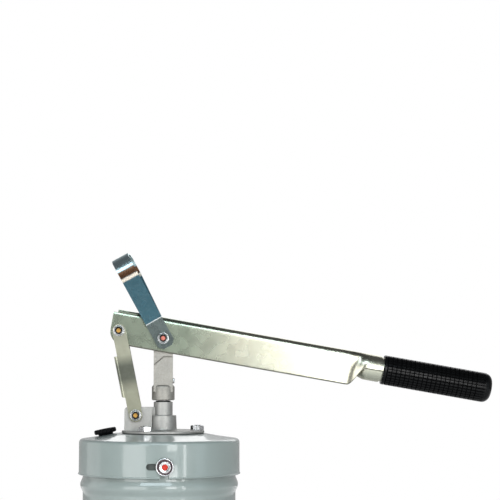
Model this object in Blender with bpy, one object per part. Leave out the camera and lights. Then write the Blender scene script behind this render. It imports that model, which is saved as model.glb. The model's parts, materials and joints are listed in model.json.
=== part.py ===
"""Hand-lever transfer pump on a round steel fluid container.

The origin is the centre of the container's base, +Z is up, +X points towards the lever's
grip and -Y is the front. Lengths below are in millimetres; MM turns them into metres.
"""
import math

import bmesh
import bpy
from mathutils import Matrix

MM = 0.001
GAP = 0.3                      # clearance between pieces that rest on each other
HALF_TURN = math.pi

# Container
WALL_R = 84.8                  # outer radius of the container's wall
WALL = 1.2
RIM_Z = 349.8                  # top of the rolled rim
BASE_THICKNESS = 1.5
BEAD_HEIGHT = 18.0             # height of one swaged bead
BEAD_DEPTH = 2.8               # how far a bead stands out
BEAD_CENTRES = (46.0, 276.5, 303.0)

# Lid
LID_R = 89.3
LID_WALL = 1.3
LID_LAND_R = 51.0              # flat land that carries the pump head
LID_LAND_Z = 358.8
SKIRT_Z = 313.6                # lower edge of the lid's skirt
SCREW_Z = 326.6                # height of the clamp screws
SCREW_ANGLES = tuple(math.radians(a) for a in (-85.5, 34.5, 154.5))
SLOT_HEIGHT = 7.0
SLOT_TURN = math.radians(10.3)     # turn between the slot's entry and its locked end
NOTCH_WIDTH = 9.0
SHANK_R = 3.2
PLUG_X = -58.5
PLUG_TILT = math.radians(11.0)

# Pump head
PUMP_X = 4.0                   # the pump's axis
FLANGE_R = 46.0
FLANGE_Z = 359.3
FLANGE_THICKNESS = 2.7
COLLAR_R = 15.0
COLLAR_TOP = 378.8
NECK_R = 10.6
NECK_TOP = 393.8
BOLT_CIRCLE_R = 38.0
BOLT_ANGLES = tuple(math.radians(a) for a in (0, 120, 240))
EAR_HALF = 10.5                # half the thickness of the ear for the link
OUTLET_Z = 370.4
OUTLET_BOSS_END = 47.0

# Pump tube and valves
TUBE_R = 17.0
TUBE_BORE = 15.0
TUBE_LOW = 20.0
TUBE_HIGH = 357.0
ROD_R = 5.95

# Linkage, measured from the pump's axis: lower and upper link pins, rod pin
PIN_A = (-30.3, 379.2)
PIN_B = (-49.3, 472.9)
PIN_C = (0.0, 464.4)
PIN_R = 3.0
PIN_HOLE_R = 3.3
LEVER_TILT = math.radians(10.0)    # the lever's slope down towards the grip
LINK_HALF = 13.5               # outer half width of the link
LINK_SHEET = 2.5
LINK_WIDTH = 15.0

# Lever: u runs along it from pin B, v across it
LEVER_HALF = 10.3
LEVER_SHEET = 2.5
LEVER_TOP = 23.4
LEVER_BOTTOM = -15.0
LEVER_END = -9.6
LEVER_BEND = 5.0
NECK_START = 248.0
NECK_END = 266.0
NECK_TUBE_R = 14.8
GRIP_START = 298.0
GRIP_LENGTH = 124.0
GRIP_R = 16.5
GRIP_BORE = 13.6

# Carrying strap
STRAP_LEAN = math.radians(28.8)
STRAP_HALF_WIDTH = 10.0
STRAP_SHEET = 2.0
STRAP_INNER = 11.2             # inner half gap at the lever
STRAP_CREASE = 21.9
STRAP_TOP = 103.6
STRAP_ARC_R = 22.4
STRAP_LOW = -11.0

# Rod head
HEAD_LOW = 395.5
HEAD_CYLINDER_R = 12.75
HEAD_CYLINDER_TOP = 412.7
BLOCK_HALF_X = 10.65
BLOCK_HALF_Y = 9.5
TONGUE_HALF_Y = 7.5
TONGUE_HOLE_R = 6.4            # wide hole, so that the pin has room in every lever position

FINE, MEDIUM, COARSE = 36, 24, 16
OFF_SEAM = (0, 0, math.radians(10))    # keeps a hole's corners off the edges of a turned piece


def clear_scene():
    for old in list(bpy.data.objects):
        bpy.data.objects.remove(old, do_unlink=True)


def material(name, color, roughness, metallic):
    mat = bpy.data.materials.new(name)
    mat.use_nodes = True
    shader = mat.node_tree.nodes["Principled BSDF"]
    shader.inputs["Base Color"].default_value = (*color, 1.0)
    shader.inputs["Roughness"].default_value = roughness
    shader.inputs["Metallic"].default_value = metallic
    return mat


def finish(name, bm, mat, parent=None, location=(0, 0, 0), rotation=(0, 0, 0)):
    """Turn a bmesh in millimetres into a named object in metres."""
    bmesh.ops.scale(bm, vec=(MM, MM, MM), verts=bm.verts)
    bmesh.ops.recalc_face_normals(bm, faces=bm.faces)
    mesh = bpy.data.meshes.new(name)
    bm.to_mesh(mesh)
    bm.free()
    mesh.shade_smooth()
    mesh.set_sharp_from_angle(angle=math.radians(35))
    obj = bpy.data.objects.new(name, mesh)
    if mat:
        mesh.materials.append(mat)
    obj.location = [value * MM for value in location]
    obj.rotation_euler = rotation
    obj.parent = parent
    bpy.context.scene.collection.objects.link(obj)
    return obj


def pivot(name, location, rotation=(0, 0, 0), parent=None):
    """An empty on a joint's axis that carries the pieces of one moving group."""
    empty = bpy.data.objects.new(name, None)
    empty.location = [value * MM for value in location]
    empty.rotation_euler = rotation
    empty.parent = parent
    bpy.context.scene.collection.objects.link(empty)
    return empty


def turned_mesh(profile, segments):
    """Spin a profile of (radius, z) points; it is open where it starts and ends on the axis."""
    bm = bmesh.new()
    verts = [bm.verts.new((r, 0, z)) for r, z in profile]
    edges = [bm.edges.new(pair) for pair in zip(verts, verts[1:])]
    if profile[0][0] > 0:
        edges.append(bm.edges.new((verts[-1], verts[0])))
    bmesh.ops.spin(bm, geom=verts + edges, axis=(0, 0, 1), cent=(0, 0, 0),
                   steps=segments, angle=2 * HALF_TURN, use_merge=True)
    bmesh.ops.remove_doubles(bm, verts=bm.verts, dist=0.0005)
    return bm


def turned(name, profile, mat, segments=MEDIUM, **place):
    return finish(name, turned_mesh(profile, segments), mat, **place)


def tube(name, outer, inner, low, high, mat, segments=MEDIUM, **place):
    profile = [(outer, low), (outer, high), (inner, high), (inner, low)]
    return turned(name, profile, mat, segments, **place)


def prism_mesh(outline, low, high, turn=None):
    """Extrude an outline of (x, z) points from y = low to y = high."""
    bm = bmesh.new()
    face = bm.faces.new([bm.verts.new((x, low, z)) for x, z in outline])
    grown = bmesh.ops.extrude_face_region(bm, geom=[face])
    moved = [item for item in grown["geom"] if isinstance(item, bmesh.types.BMVert)]
    bmesh.ops.translate(bm, vec=(0, high - low, 0), verts=moved)
    if turn:
        bmesh.ops.transform(bm, matrix=turn, verts=bm.verts)
    return bm


def prism(name, outline, low, high, mat, turn=None, **place):
    return finish(name, prism_mesh(outline, low, high, turn), mat, **place)


def box(name, low, high, mat=None, **place):
    outline = [(low[0], low[2]), (high[0], low[2]), (high[0], high[2]), (low[0], high[2])]
    return prism(name, outline, low[1], high[1], mat, **place)


def arc(centre, radius, start, end, steps):
    """Points on an arc, angles in degrees."""
    points = []
    for i in range(steps + 1):
        angle = math.radians(start + (end - start) * i / steps)
        points.append((centre[0] + radius * math.cos(angle), centre[1] + radius * math.sin(angle)))
    return points


def combine(target, other, operation):
    """Join or cut with a hidden helper object."""
    other.hide_render = True
    other.display_type = "WIRE"
    modifier = target.modifiers.new(other.name, "BOOLEAN")
    modifier.operation = operation
    modifier.solver = "EXACT"
    modifier.object = other
    return target


def cut(target, *cutters):
    for cutter in cutters:
        combine(target, cutter, "DIFFERENCE")


def join(target, *others):
    for other in others:
        combine(target, other, "UNION")


def hexagon_ring(bm, apothem, z, count=12):
    ring = []
    for i in range(count):
        angle = 2 * HALF_TURN * i / count
        off_flat = (angle + HALF_TURN / 6) % (HALF_TURN / 3) - HALF_TURN / 6
        radius = apothem / math.cos(off_flat)
        ring.append(bm.verts.new((radius * math.cos(angle), radius * math.sin(angle), z)))
    return ring


def round_ring(bm, radius, z, count=12):
    angles = [2 * HALF_TURN * i / count for i in range(count)]
    return [bm.verts.new((radius * math.cos(a), radius * math.sin(a), z)) for a in angles]


def skin(bm, rings, closed):
    """Join rings of equal count by quads; close them into a loop, or cap both ends."""
    pairs = list(zip(rings, rings[1:]))
    if closed:
        pairs.append((rings[-1], rings[0]))
    else:
        bm.faces.new(rings[0])
        bm.faces.new(rings[-1])
    for first, second in pairs:
        count = len(first)
        for i in range(count):
            j = (i + 1) % count
            bm.faces.new((first[i], first[j], second[j], second[i]))


def rod(name, radius, low, high, mat, segments=COARSE, **place):
    bm = bmesh.new()
    skin(bm, [round_ring(bm, radius, low, segments), round_ring(bm, radius, high, segments)], closed=False)
    return finish(name, bm, mat, **place)


def hex_bolt(name, across_flats, head_height, shank_r, length, mat, **place):
    """Head below local z = 0, shank up to z = length."""
    bm = bmesh.new()
    flat = across_flats / 2
    rings = [
        round_ring(bm, flat * 0.9, -head_height),
        hexagon_ring(bm, flat, -head_height * 0.86),
        hexagon_ring(bm, flat, 0),
        round_ring(bm, shank_r, 0),
        round_ring(bm, shank_r, length - 0.6),
        round_ring(bm, shank_r - 0.6, length),
    ]
    skin(bm, rings, closed=False)
    return finish(name, bm, mat, **place)


def hex_nut(name, across_flats, height, hole_r, mat, collar=0.0, **place):
    """Nut standing on local z = 0; collar is the height of a round locking end."""
    bm = bmesh.new()
    flat = across_flats / 2
    rings = [round_ring(bm, hole_r, 0), hexagon_ring(bm, flat, 0)]
    rings.append(hexagon_ring(bm, flat, height - collar - 0.5))
    rings.append(round_ring(bm, flat * 0.93, height - collar))
    if collar:
        rings.append(round_ring(bm, flat * 0.86, height))
    rings.append(round_ring(bm, hole_r, height))
    skin(bm, rings, closed=True)
    return finish(name, bm, mat, **place)


def bead_profile(radius, depth):
    """Outer side of the swaged wall, from the top bead down to the bottom one."""
    points = []
    steps = 4
    for centre in sorted(BEAD_CENTRES, reverse=True):
        for i in range(steps + 1):
            share = i / steps
            z = centre + BEAD_HEIGHT * (0.5 - share)
            points.append((radius + depth * math.sin(HALF_TURN * share) ** 1.5, z))
    return points


def build_container(steel_paint, zinc):
    low = BASE_THICKNESS + GAP
    outer = [(WALL_R, 344.5), *bead_profile(WALL_R, BEAD_DEPTH), (WALL_R, 8.0), (WALL_R + 0.9, low)]
    inner_r = WALL_R - WALL
    inner = [(inner_r, low), (inner_r, 346.0)]
    rim = [(WALL_R - 0.4, RIM_Z - 0.6), (WALL_R + 0.8, RIM_Z), (WALL_R + 2.2, RIM_Z - 1.0),
           (WALL_R + 2.4, RIM_Z - 3.0), (WALL_R + 1.5, RIM_Z - 4.6)]
    shell = turned("container_shell", outer + inner + rim, steel_paint, FINE)
    chime = [(0, 0), (WALL_R + 2.4, 0), (WALL_R + 2.7, 1.0), (WALL_R + 2.7, 6.0), (WALL_R + 1.3, 6.0),
             (WALL_R + 1.3, BASE_THICKNESS), (0, BASE_THICKNESS)]
    turned("container_base", chime, steel_paint, FINE)
    for number, angle in enumerate(SCREW_ANGLES, 1):
        outward = (0, HALF_TURN / 2, angle)
        hole = rod(f"wall_hole_{number}", SHANK_R + GAP, WALL_R - 4, WALL_R + 4, None,
                   location=(0, 0, SCREW_Z), rotation=outward)
        cut(shell, hole)
        nut_r = math.sqrt((WALL_R - WALL) ** 2 - 6.0 ** 2) - GAP
        hex_nut(f"weld_nut_{number}", 10.0, 5.0, SHANK_R + GAP, zinc,
                location=((nut_r - 5.0) * math.cos(angle), (nut_r - 5.0) * math.sin(angle), SCREW_Z),
                rotation=outward)


def build_clamp_screws(zinc):
    """Round-headed screws that hold the lid's slots; local z is the outward radius."""
    foot = 74.0
    seat = LID_R + 1.2
    for number, angle in enumerate(SCREW_ANGLES, 1):
        profile = [(0, foot), (SHANK_R, foot), (SHANK_R, seat), (9.5, seat), (9.5, seat + 2.0),
                   (8.6, seat + 2.6), (6.4, seat + 2.6), (6.2, seat + 4.8), (5.4, seat + 5.4),
                   (0, seat + 5.4)]
        turned(f"clamp_screw_{number}", profile, zinc, COARSE, location=(0, 0, SCREW_Z),
               rotation=(0, HALF_TURN / 2, angle))


def slot_outline():
    """Inverted L in the plane of the skirt: x is to the right as seen from outside."""
    reach = LID_R * math.sin(SLOT_TURN) + SHANK_R + GAP
    top = SLOT_HEIGHT / 2
    half = NOTCH_WIDTH / 2
    left = arc((-reach + top, 0), top, 90, 270, 6)
    return [*left, (-half, -top), (-half, -20), (half, -20), (half, top)]


def build_lid(steel_paint, black_rubber):
    inner_r = LID_R - LID_WALL
    land_under = LID_LAND_Z - LID_WALL
    profile = [(12.0, land_under), (LID_LAND_R, land_under), (82.5, 352.0)]
    profile += [(inner_r - 1.4, 350.5), (inner_r - 0.4, 349.2), (inner_r, 346.5), (inner_r, 317.0)]
    profile += [(inner_r + 0.7, SKIRT_Z)]
    profile += [(LID_R + 0.9, SKIRT_Z), (LID_R + 0.9, SKIRT_Z + 1.2), (LID_R, SKIRT_Z + 3.0)]
    profile += [(LID_R, 347.0)]
    profile += arc((LID_R - 6.0, 347.4), 6.0, 20, 80, 3)
    profile += [(LID_LAND_R, LID_LAND_Z), (12.0, LID_LAND_Z)]
    lid = turned("lid", profile, steel_paint, FINE)
    cut(lid, rod("lid_centre_hole", 20.3, 340, 370, None, 24, location=(PUMP_X, 0, 0)))
    for number, angle in enumerate(BOLT_ANGLES, 1):
        place = (PUMP_X + BOLT_CIRCLE_R * math.cos(angle), BOLT_CIRCLE_R * math.sin(angle), 0)
        cut(lid, rod(f"lid_bolt_hole_{number}", 4.5, 350, 365, None, 12, location=place, rotation=OFF_SEAM))
    for number, angle in enumerate(SCREW_ANGLES, 1):
        cutter = prism(f"lid_slot_{number}", slot_outline(), -(LID_R + 6), -(LID_R - 6), None,
                       location=(0, 0, SCREW_Z), rotation=(0, 0, angle + HALF_TURN / 2))
        cut(lid, cutter)
    cut(lid, rod("lid_filler_hole", 8.6, -12, 12, None, 16,
                 location=(PLUG_X, 0, 356.6), rotation=(0, -PLUG_TILT, 0)))
    gasket_low = RIM_Z + GAP
    gasket = [(86.0, gasket_low), (86.0, gasket_low + 0.35), (83.4, gasket_low + 1.25), (83.4, gasket_low)]
    turned("lid_gasket", gasket, black_rubber, FINE)


def build_filler_plug(black_plastic):
    """Finger-grip plug; its local z is the axis that it is pulled along."""
    lobes, count = 12, 24
    bm = bmesh.new()

    def lobed_ring(radius, z):
        ring = []
        for i in range(count):
            angle = 2 * HALF_TURN * i / count
            r = radius + 0.5 * math.cos(lobes * angle)
            ring.append(bm.verts.new((r * math.cos(angle), r * math.sin(angle), z)))
        return ring

    rings = [round_ring(bm, 6.6, -9, count), round_ring(bm, 8.2, -7.5, count),
             round_ring(bm, 8.2, 1.6, count), lobed_ring(11.4, 2.2), lobed_ring(11.9, 3.0),
             lobed_ring(11.9, 6.2), lobed_ring(11.0, 7.0)]
    skin(bm, rings, closed=False)
    finish("filler_plug", bm, black_plastic, location=(PLUG_X, 0, 356.6),
           rotation=(0, -PLUG_TILT, 0))


def build_pump_head(pump, casting, black_rubber, zinc, brass):
    flange_top = FLANGE_Z + FLANGE_THICKNESS
    profile = [(17.3, 340), (19.8, 340), (19.8, FLANGE_Z), (FLANGE_R - 0.5, FLANGE_Z),
               (FLANGE_R, FLANGE_Z + 0.5), (FLANGE_R, flange_top - 0.6), (FLANGE_R - 0.6, flange_top),
               (COLLAR_R + 0.9, flange_top), (COLLAR_R, flange_top + 1.2),
               (COLLAR_R - 0.5, COLLAR_TOP - 1.0), (COLLAR_R - 1.5, COLLAR_TOP), (NECK_R, COLLAR_TOP),
               (NECK_R, NECK_TOP - 0.6), (NECK_R - 0.6, NECK_TOP), (8.6, NECK_TOP),
               (8.6, 382.0), (6.3, 382.0), (6.3, 377.0), (11.0, 375.0), (11.0, TUBE_HIGH + GAP),
               (17.3, TUBE_HIGH + GAP)]
    head = turned("pump_head", profile, casting, FINE, parent=pump)
    ear = [(-12.2, flange_top - 1), (-12.2, 377.5), (-20.0, 385.5), (-25.0, 387.9)]
    ear += [*arc((-38.2, 384.4), 3.5, 90, 175, 4), (-44.2, flange_top - 1)]
    lug = prism("head_ear", ear, -EAR_HALF, EAR_HALF, None, parent=pump)
    boss_bm = bmesh.new()
    boss_rings = [(8.3, 12.2), (8.3, OUTLET_BOSS_END - 0.5), (7.8, OUTLET_BOSS_END)]
    skin(boss_bm, [round_ring(boss_bm, r, z, 20) for r, z in boss_rings], closed=False)
    to_the_rear = {"location": (0, 0, OUTLET_Z), "rotation": (-HALF_TURN / 2, 0, 0)}
    boss = finish("head_boss", boss_bm, None, parent=pump, **to_the_rear)
    join(head, lug, boss)
    cut(head, rod("head_port", 5.3, 5, 60, None, 16, parent=pump, **to_the_rear))
    cut(head, rod("head_ear_hole", PIN_HOLE_R, -20, 20, None, 16, parent=pump,
                  location=(PIN_A[0], 0, PIN_A[1]), rotation=(HALF_TURN / 2, 0, 0)))
    gasket = tube("head_gasket", FLANGE_R - 1, 20.1, LID_LAND_Z + 0.1, FLANGE_Z - 0.1, black_rubber, FINE,
                  parent=pump)
    for number, angle in enumerate(BOLT_ANGLES, 1):
        place = (BOLT_CIRCLE_R * math.cos(angle), BOLT_CIRCLE_R * math.sin(angle), 0)
        hole = rod(f"head_bolt_hole_{number}", 4.5, 350, 370, None, 12, parent=pump, location=place,
                   rotation=OFF_SEAM)
        cut(head, hole)
        cut(gasket, hole)
        upside_down = (HALF_TURN, 0, 0)
        hex_bolt(f"head_bolt_{number}", 13.0, 5.5, 3.95, 14.0, zinc, parent=pump,
                 location=(place[0], place[1], flange_top + GAP), rotation=upside_down)
        hex_nut(f"head_nut_{number}", 13.0, 6.0, 4.3, zinc, parent=pump,
                location=(place[0], place[1], LID_LAND_Z - LID_WALL - GAP), rotation=upside_down)
    tube("rod_wiper", 8.3, 6.2, 389.2, NECK_TOP + 1.2, black_rubber, COARSE, parent=pump)
    tube("gland_packing", 8.3, 6.2, 382.3, 388.9, black_rubber, COARSE, parent=pump)
    build_outlet(pump, brass)


def build_outlet(pump, brass):
    """Threaded hose nipple in the rear boss; its local z points to the rear."""
    bm = bmesh.new()
    start = OUTLET_BOSS_END + GAP
    rings = [round_ring(bm, 4.0, start - 14), round_ring(bm, 5.0, start - 14),
             round_ring(bm, 5.0, start), hexagon_ring(bm, 9.5, start),
             hexagon_ring(bm, 9.5, start + 6.0), round_ring(bm, 7.4, start + 6.0),
             round_ring(bm, 7.4, start + 8.0), round_ring(bm, 8.3, start + 8.4),
             round_ring(bm, 8.3, start + 20.0), round_ring(bm, 7.5, start + 21.0),
             round_ring(bm, 4.0, start + 21.0)]
    skin(bm, rings, closed=True)
    finish("outlet_fitting", bm, brass, parent=pump, location=(0, 0, OUTLET_Z),
           rotation=(-HALF_TURN / 2, 0, 0))


def build_suction_end(pump, steel, brass, bearing_steel):
    tube("pump_tube", TUBE_R, TUBE_BORE, TUBE_LOW, TUBE_HIGH, steel, MEDIUM, parent=pump)
    seat_z = 25.0
    ball_r = 7.5
    profile = [(5.0, 17.0), (TUBE_R, 17.0), (TUBE_R, TUBE_LOW - GAP), (TUBE_BORE - GAP, TUBE_LOW - GAP),
               (TUBE_BORE - GAP, 48.0), (8.6, 48.0), (8.6, seat_z + 3.6), (5.0, seat_z)]
    valve = turned("foot_valve_body", profile, brass, COARSE, parent=pump)
    pin_z = seat_z + 19.5
    cut(valve, rod("foot_valve_pin_hole", 1.9, -20, 20, None, 12, parent=pump,
                   location=(0, 0, pin_z), rotation=(HALF_TURN / 2, 0, 0)))
    rod("foot_valve_pin", 1.5, -14.0, 14.0, steel, 12, parent=pump, location=(0, 0, pin_z),
        rotation=(HALF_TURN / 2, 0, 0))
    ball("foot_valve_ball", ball_r, seat_z + 6.0, bearing_steel, pump)
    cup = [(0, 6.0), (TUBE_R - 1, 6.0), (TUBE_R, 7.0), (TUBE_R, 17.0 - GAP), (TUBE_R - 1.5, 17.0 - GAP),
           (TUBE_R - 1.5, 7.5), (0, 7.5)]
    strainer = turned("suction_strainer", cup, steel, COARSE, parent=pump)
    for number in range(4):
        cutter = box(f"strainer_slot_{number}", (-30, -1.5, 9.0), (30, 1.5, 14.5), parent=pump,
                     rotation=(0, 0, math.radians(22.5 + 45 * number)))
        cut(strainer, cutter)


def ball(name, radius, z, mat, parent):
    """Ball of a valve, with its origin at its centre."""
    steps = 6
    profile = []
    for i in range(steps + 1):
        angle = HALF_TURN * i / steps - HALF_TURN / 2
        r = 0 if i in (0, steps) else radius * math.cos(angle)
        profile.append((r, radius * math.sin(angle)))
    turned(name, profile, mat, 12, parent=parent, location=(0, 0, z))


def build_rod(pump, steel, rubber, brass, bearing_steel, casting, zinc):
    piston_low = 58.0
    profile = [(4.0, piston_low), (14.2, piston_low), (14.2, piston_low + 5), (12.3, piston_low + 5),
               (12.3, piston_low + 13), (14.2, piston_low + 13), (14.2, piston_low + 15),
               (11.0, piston_low + 18), (11.0, piston_low + 32), (ROD_R + 0.25, piston_low + 32),
               (ROD_R + 0.25, piston_low + 24), (2.0, piston_low + 24), (2.0, piston_low + 22),
               (7.2, piston_low + 21), (7.2, piston_low + 8), (4.0, piston_low + 5)]
    piston = turned("piston", profile, brass, COARSE, parent=pump)
    window_z = piston_low + 18.5
    for number in range(2):
        cut(piston, rod(f"piston_window_{number}", 2.4, -16, 16, None, 12, parent=pump,
                        location=(0, 0, window_z),
                        rotation=(HALF_TURN / 2, 0, number * HALF_TURN / 2)))
    tube("piston_seal", TUBE_BORE - 0.2, 12.6, piston_low + 5.3, piston_low + 12.7, rubber, COARSE,
         parent=pump)
    ball("piston_ball", 6.0, piston_low + 9.8, bearing_steel, pump)
    rod("piston_rod", ROD_R, piston_low + 24.3, 425.0, steel, COARSE, parent=pump)
    build_rod_head(pump, casting, zinc)


def build_rod_head(pump, casting, zinc):
    """Turned foot, milled block with a slanting shoulder, and a tongue inside the lever."""
    profile = [(0, HEAD_LOW), (HEAD_CYLINDER_R - 0.8, HEAD_LOW), (HEAD_CYLINDER_R, HEAD_LOW + 0.8),
               (HEAD_CYLINDER_R, HEAD_CYLINDER_TOP - 2.5), (HEAD_CYLINDER_R - 2.5, HEAD_CYLINDER_TOP),
               (0, HEAD_CYLINDER_TOP)]
    head = turned("rod_head", profile, casting, MEDIUM, parent=pump)
    side = BLOCK_HALF_X
    block = prism("rod_head_block", [(-side, 405), (side, 405), (side, 443.1), (0.6, 443.1), (-side, 433.6)],
                  -BLOCK_HALF_Y, BLOCK_HALF_Y, None, parent=pump)
    outline = [(-side, 430), (side, 430), *arc(PIN_C, side, 0, 180, 12)]
    tongue = prism("rod_head_tongue", outline, -TONGUE_HALF_Y, TONGUE_HALF_Y, None, parent=pump)
    join(head, block, tongue)
    screw_z = 417.2
    cut(head, rod("rod_head_bore", ROD_R + GAP, 380, 425.3, None, 16, parent=pump),
        rod("rod_head_pin_hole", TONGUE_HOLE_R, -20, 20, None, 16, parent=pump,
            location=(PIN_C[0], 0, PIN_C[1]), rotation=(HALF_TURN / 2, 0, 0)),
        rod("rod_head_screw_hole", 3.3, 3, 20, None, 12, parent=pump,
            location=(0, 0, screw_z), rotation=(0, HALF_TURN / 2, 0)))
    rod("rod_head_set_screw", PIN_R, ROD_R + GAP, side + 2.0, zinc, 12, parent=pump,
        location=(0, 0, screw_z), rotation=(0, HALF_TURN / 2, 0))


def build_pivot_fastener(name, half, parent, zinc, place):
    """Bolt from the rear, locknut at the front, a washer under each; local z is the front."""
    facing = (HALF_TURN / 2, 0, 0)
    washer = 1.2
    seat = half + GAP
    inside = seat + washer + GAP
    hex_bolt(f"{name}_bolt", 10.0, 4.0, PIN_R, 2 * inside + 7.0, zinc, parent=parent,
             location=(place[0], inside, place[1]), rotation=facing)
    hex_nut(f"{name}_nut", 10.0, 6.0, PIN_HOLE_R, zinc, collar=1.6, parent=parent,
            location=(place[0], -inside, place[1]), rotation=facing)
    tube(f"{name}_washer_front", 6.2, PIN_HOLE_R, seat, seat + washer, zinc, COARSE, parent=parent,
         location=(place[0], 0, place[1]), rotation=facing)
    tube(f"{name}_washer_rear", 6.2, PIN_HOLE_R, -seat - washer, -seat, zinc, COARSE, parent=parent,
         location=(place[0], 0, place[1]), rotation=facing)


def build_link(link, steel_zinc, zinc):
    """Two plates and a web on their left side; local z runs from pin A to pin B."""
    span = math.dist(PIN_A, PIN_B)
    half = LINK_WIDTH / 2
    web_low, web_high, web_out = 20.0, 68.0, half + 3.6
    outline = [*arc((0, 0), half, 180, 360, 10), *arc((0, span), half, 0, 180, 10)]
    outline += [(-half, web_high + 4), (-web_out, web_high), (-web_out, web_low), (-half, web_low - 4)]
    arm = prism("link_arm", outline, -LINK_HALF, LINK_HALF, steel_zinc, parent=link)
    inner = LINK_HALF - LINK_SHEET
    wide = 30
    web_in = LINK_SHEET - web_out
    opening = [(-wide, -wide), (wide, -wide), (wide, span + wide), (-wide, span + wide), (-wide, web_high),
               (web_in, web_high), (web_in, web_low), (-wide, web_low)]
    cut(arm, prism("link_gap", opening, -inner, inner, None, parent=link))
    for label, z in (("low", 0), ("high", span)):
        cut(arm, rod(f"link_hole_{label}", PIN_HOLE_R, -20, 20, None, 16, parent=link,
                     location=(0, 0, z), rotation=(HALF_TURN / 2, 0, 0)))
    build_pivot_fastener("lower_link", LINK_HALF, link, zinc, (0, 0))


def channel_path(inset, bottom):
    """Half of an inverted U section, from the flank's lower edge to the middle of the web."""
    half, top, bend = LEVER_HALF - inset, LEVER_TOP - inset, LEVER_BEND - inset
    shoulder = top - bend
    flank = [(-half, bottom + (shoulder - bottom) * i / 3) for i in range(3)]
    corner = arc((-half + bend, shoulder), bend, 180, 90, 3)
    return [*flank, *corner, (0.0, top)]


def round_path(inset, radius, shares):
    """The same half section rolled into a tube with a narrow seam below."""
    centre = LEVER_TOP - NECK_TUBE_R
    seam = 4.0
    points = []
    for share in shares:
        angle = math.radians(-90 - seam - (180 - seam) * share)
        points.append(((radius - inset) * math.cos(angle), centre + (radius - inset) * math.sin(angle)))
    return points


def lever_section(bottom, rolled, radius):
    """Closed outline of the lever's sheet at one station: outer side, then inner side back."""
    sides = []
    for inset in (0.0, LEVER_SHEET):
        path = channel_path(inset, bottom)
        lengths = [0.0]
        for a, b in zip(path, path[1:]):
            lengths.append(lengths[-1] + math.dist(a, b))
        shares = [length / lengths[-1] for length in lengths]
        ring = round_path(inset, radius, shares)
        near = [((1 - rolled) * p[0] + rolled * q[0], (1 - rolled) * p[1] + rolled * q[1])
                for p, q in zip(path, ring)]
        far = [(-y, v) for y, v in reversed(near[:-1])]
        sides.append(near + far)
    return sides[0] + sides[1][::-1]


def lever_stations():
    """Stations (u, lower edge, how far rolled, tube radius) along the lever."""
    stations = []
    end_r = 15.0
    for u in (LEVER_END, LEVER_END + 1.0, LEVER_END + 4.0, LEVER_END + 8.5):
        rise = math.sqrt(max(end_r ** 2 - (u - LEVER_END - end_r) ** 2, 0))
        stations.append((u, LEVER_BOTTOM + end_r - rise, 0.0, NECK_TUBE_R))
    for u in (LEVER_END + end_r, 130.0, NECK_START):
        stations.append((u, LEVER_BOTTOM, 0.0, NECK_TUBE_R))
    steps = 4
    for i in range(1, steps + 1):
        share = i / steps
        rolled = share * share * (3 - 2 * share)
        u = NECK_START + (NECK_END - NECK_START) * share
        stations.append((u, LEVER_BOTTOM + 8.0 * rolled, rolled, NECK_TUBE_R))
    stations.append((GRIP_START - 1.5, LEVER_BOTTOM + 8.0, 1.0, NECK_TUBE_R))
    stations.append((GRIP_START, LEVER_BOTTOM + 8.0, 1.0, GRIP_BORE - GAP))
    stations.append((GRIP_START + GRIP_LENGTH - 14, LEVER_BOTTOM + 8.0, 1.0, GRIP_BORE - GAP))
    return stations


def build_lever(lever, steel_zinc, black_plastic, zinc):
    bm = bmesh.new()
    rings = []
    for u, bottom, rolled, radius in lever_stations():
        rings.append([bm.verts.new((u, y, v)) for y, v in lever_section(bottom, rolled, radius)])
    skin(bm, rings, closed=False)
    arm = finish("lever", bm, steel_zinc, parent=lever)
    slit_end, slit_low, tongue_end = 17.0, 19.8, -4.7
    cut(arm, box("lever_slit_front", (-20, -12, slit_low), (slit_end, -7.6, 30), parent=lever),
        box("lever_slit_rear", (-20, 7.6, slit_low), (slit_end, 12, 30), parent=lever),
        box("lever_web_end", (-20, -12, slit_low), (tongue_end, 12, 30), parent=lever))
    rod_pin = math.dist(PIN_B, PIN_C)
    for label, u in (("link", 0.0), ("rod", rod_pin)):
        cut(arm, rod(f"lever_hole_{label}", PIN_HOLE_R, -20, 20, None, 16, parent=lever,
                     location=(u, 0, 0), rotation=(HALF_TURN / 2, 0, 0)))
    build_grip(lever, black_plastic)
    build_pivot_fastener("upper_link", LINK_HALF, lever, zinc, (0, 0))
    build_pivot_fastener("rod_pin", STRAP_INNER + STRAP_SHEET, lever, zinc, (rod_pin, 0))


def build_grip(lever, black_plastic):
    """Hand grip pushed over the lever's tube; local z runs out along the grip."""
    corner = 9.0
    profile = [(GRIP_BORE, 0), (GRIP_R - 0.8, 0), (GRIP_R, 0.8)]
    profile += arc((GRIP_R - corner, GRIP_LENGTH - corner), corner, 0, 90, 4)
    profile += [(0, GRIP_LENGTH), (0, GRIP_LENGTH - 10), (GRIP_BORE, GRIP_LENGTH - 10)]
    bm = grip_mesh(profile)
    finish("grip", bm, black_plastic, parent=lever,
           location=(GRIP_START + GAP, 0, LEVER_TOP - NECK_TUBE_R), rotation=(0, HALF_TURN / 2, 0))


def grip_mesh(profile):
    """Closed-end sleeve: the profile meets the axis twice, so it is spun as two chains."""
    bm = bmesh.new()
    verts = [bm.verts.new((r, 0, z)) for r, z in profile]
    edges = []
    for i, vert in enumerate(verts):
        following = verts[(i + 1) % len(verts)]
        if profile[i][0] > 0 or profile[(i + 1) % len(verts)][0] > 0:
            edges.append(bm.edges.new((vert, following)))
    bmesh.ops.spin(bm, geom=verts + edges, axis=(0, 0, 1), cent=(0, 0, 0),
                   steps=MEDIUM, angle=2 * HALF_TURN, use_merge=True)
    bmesh.ops.remove_doubles(bm, verts=bm.verts, dist=0.0005)
    return bm


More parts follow.
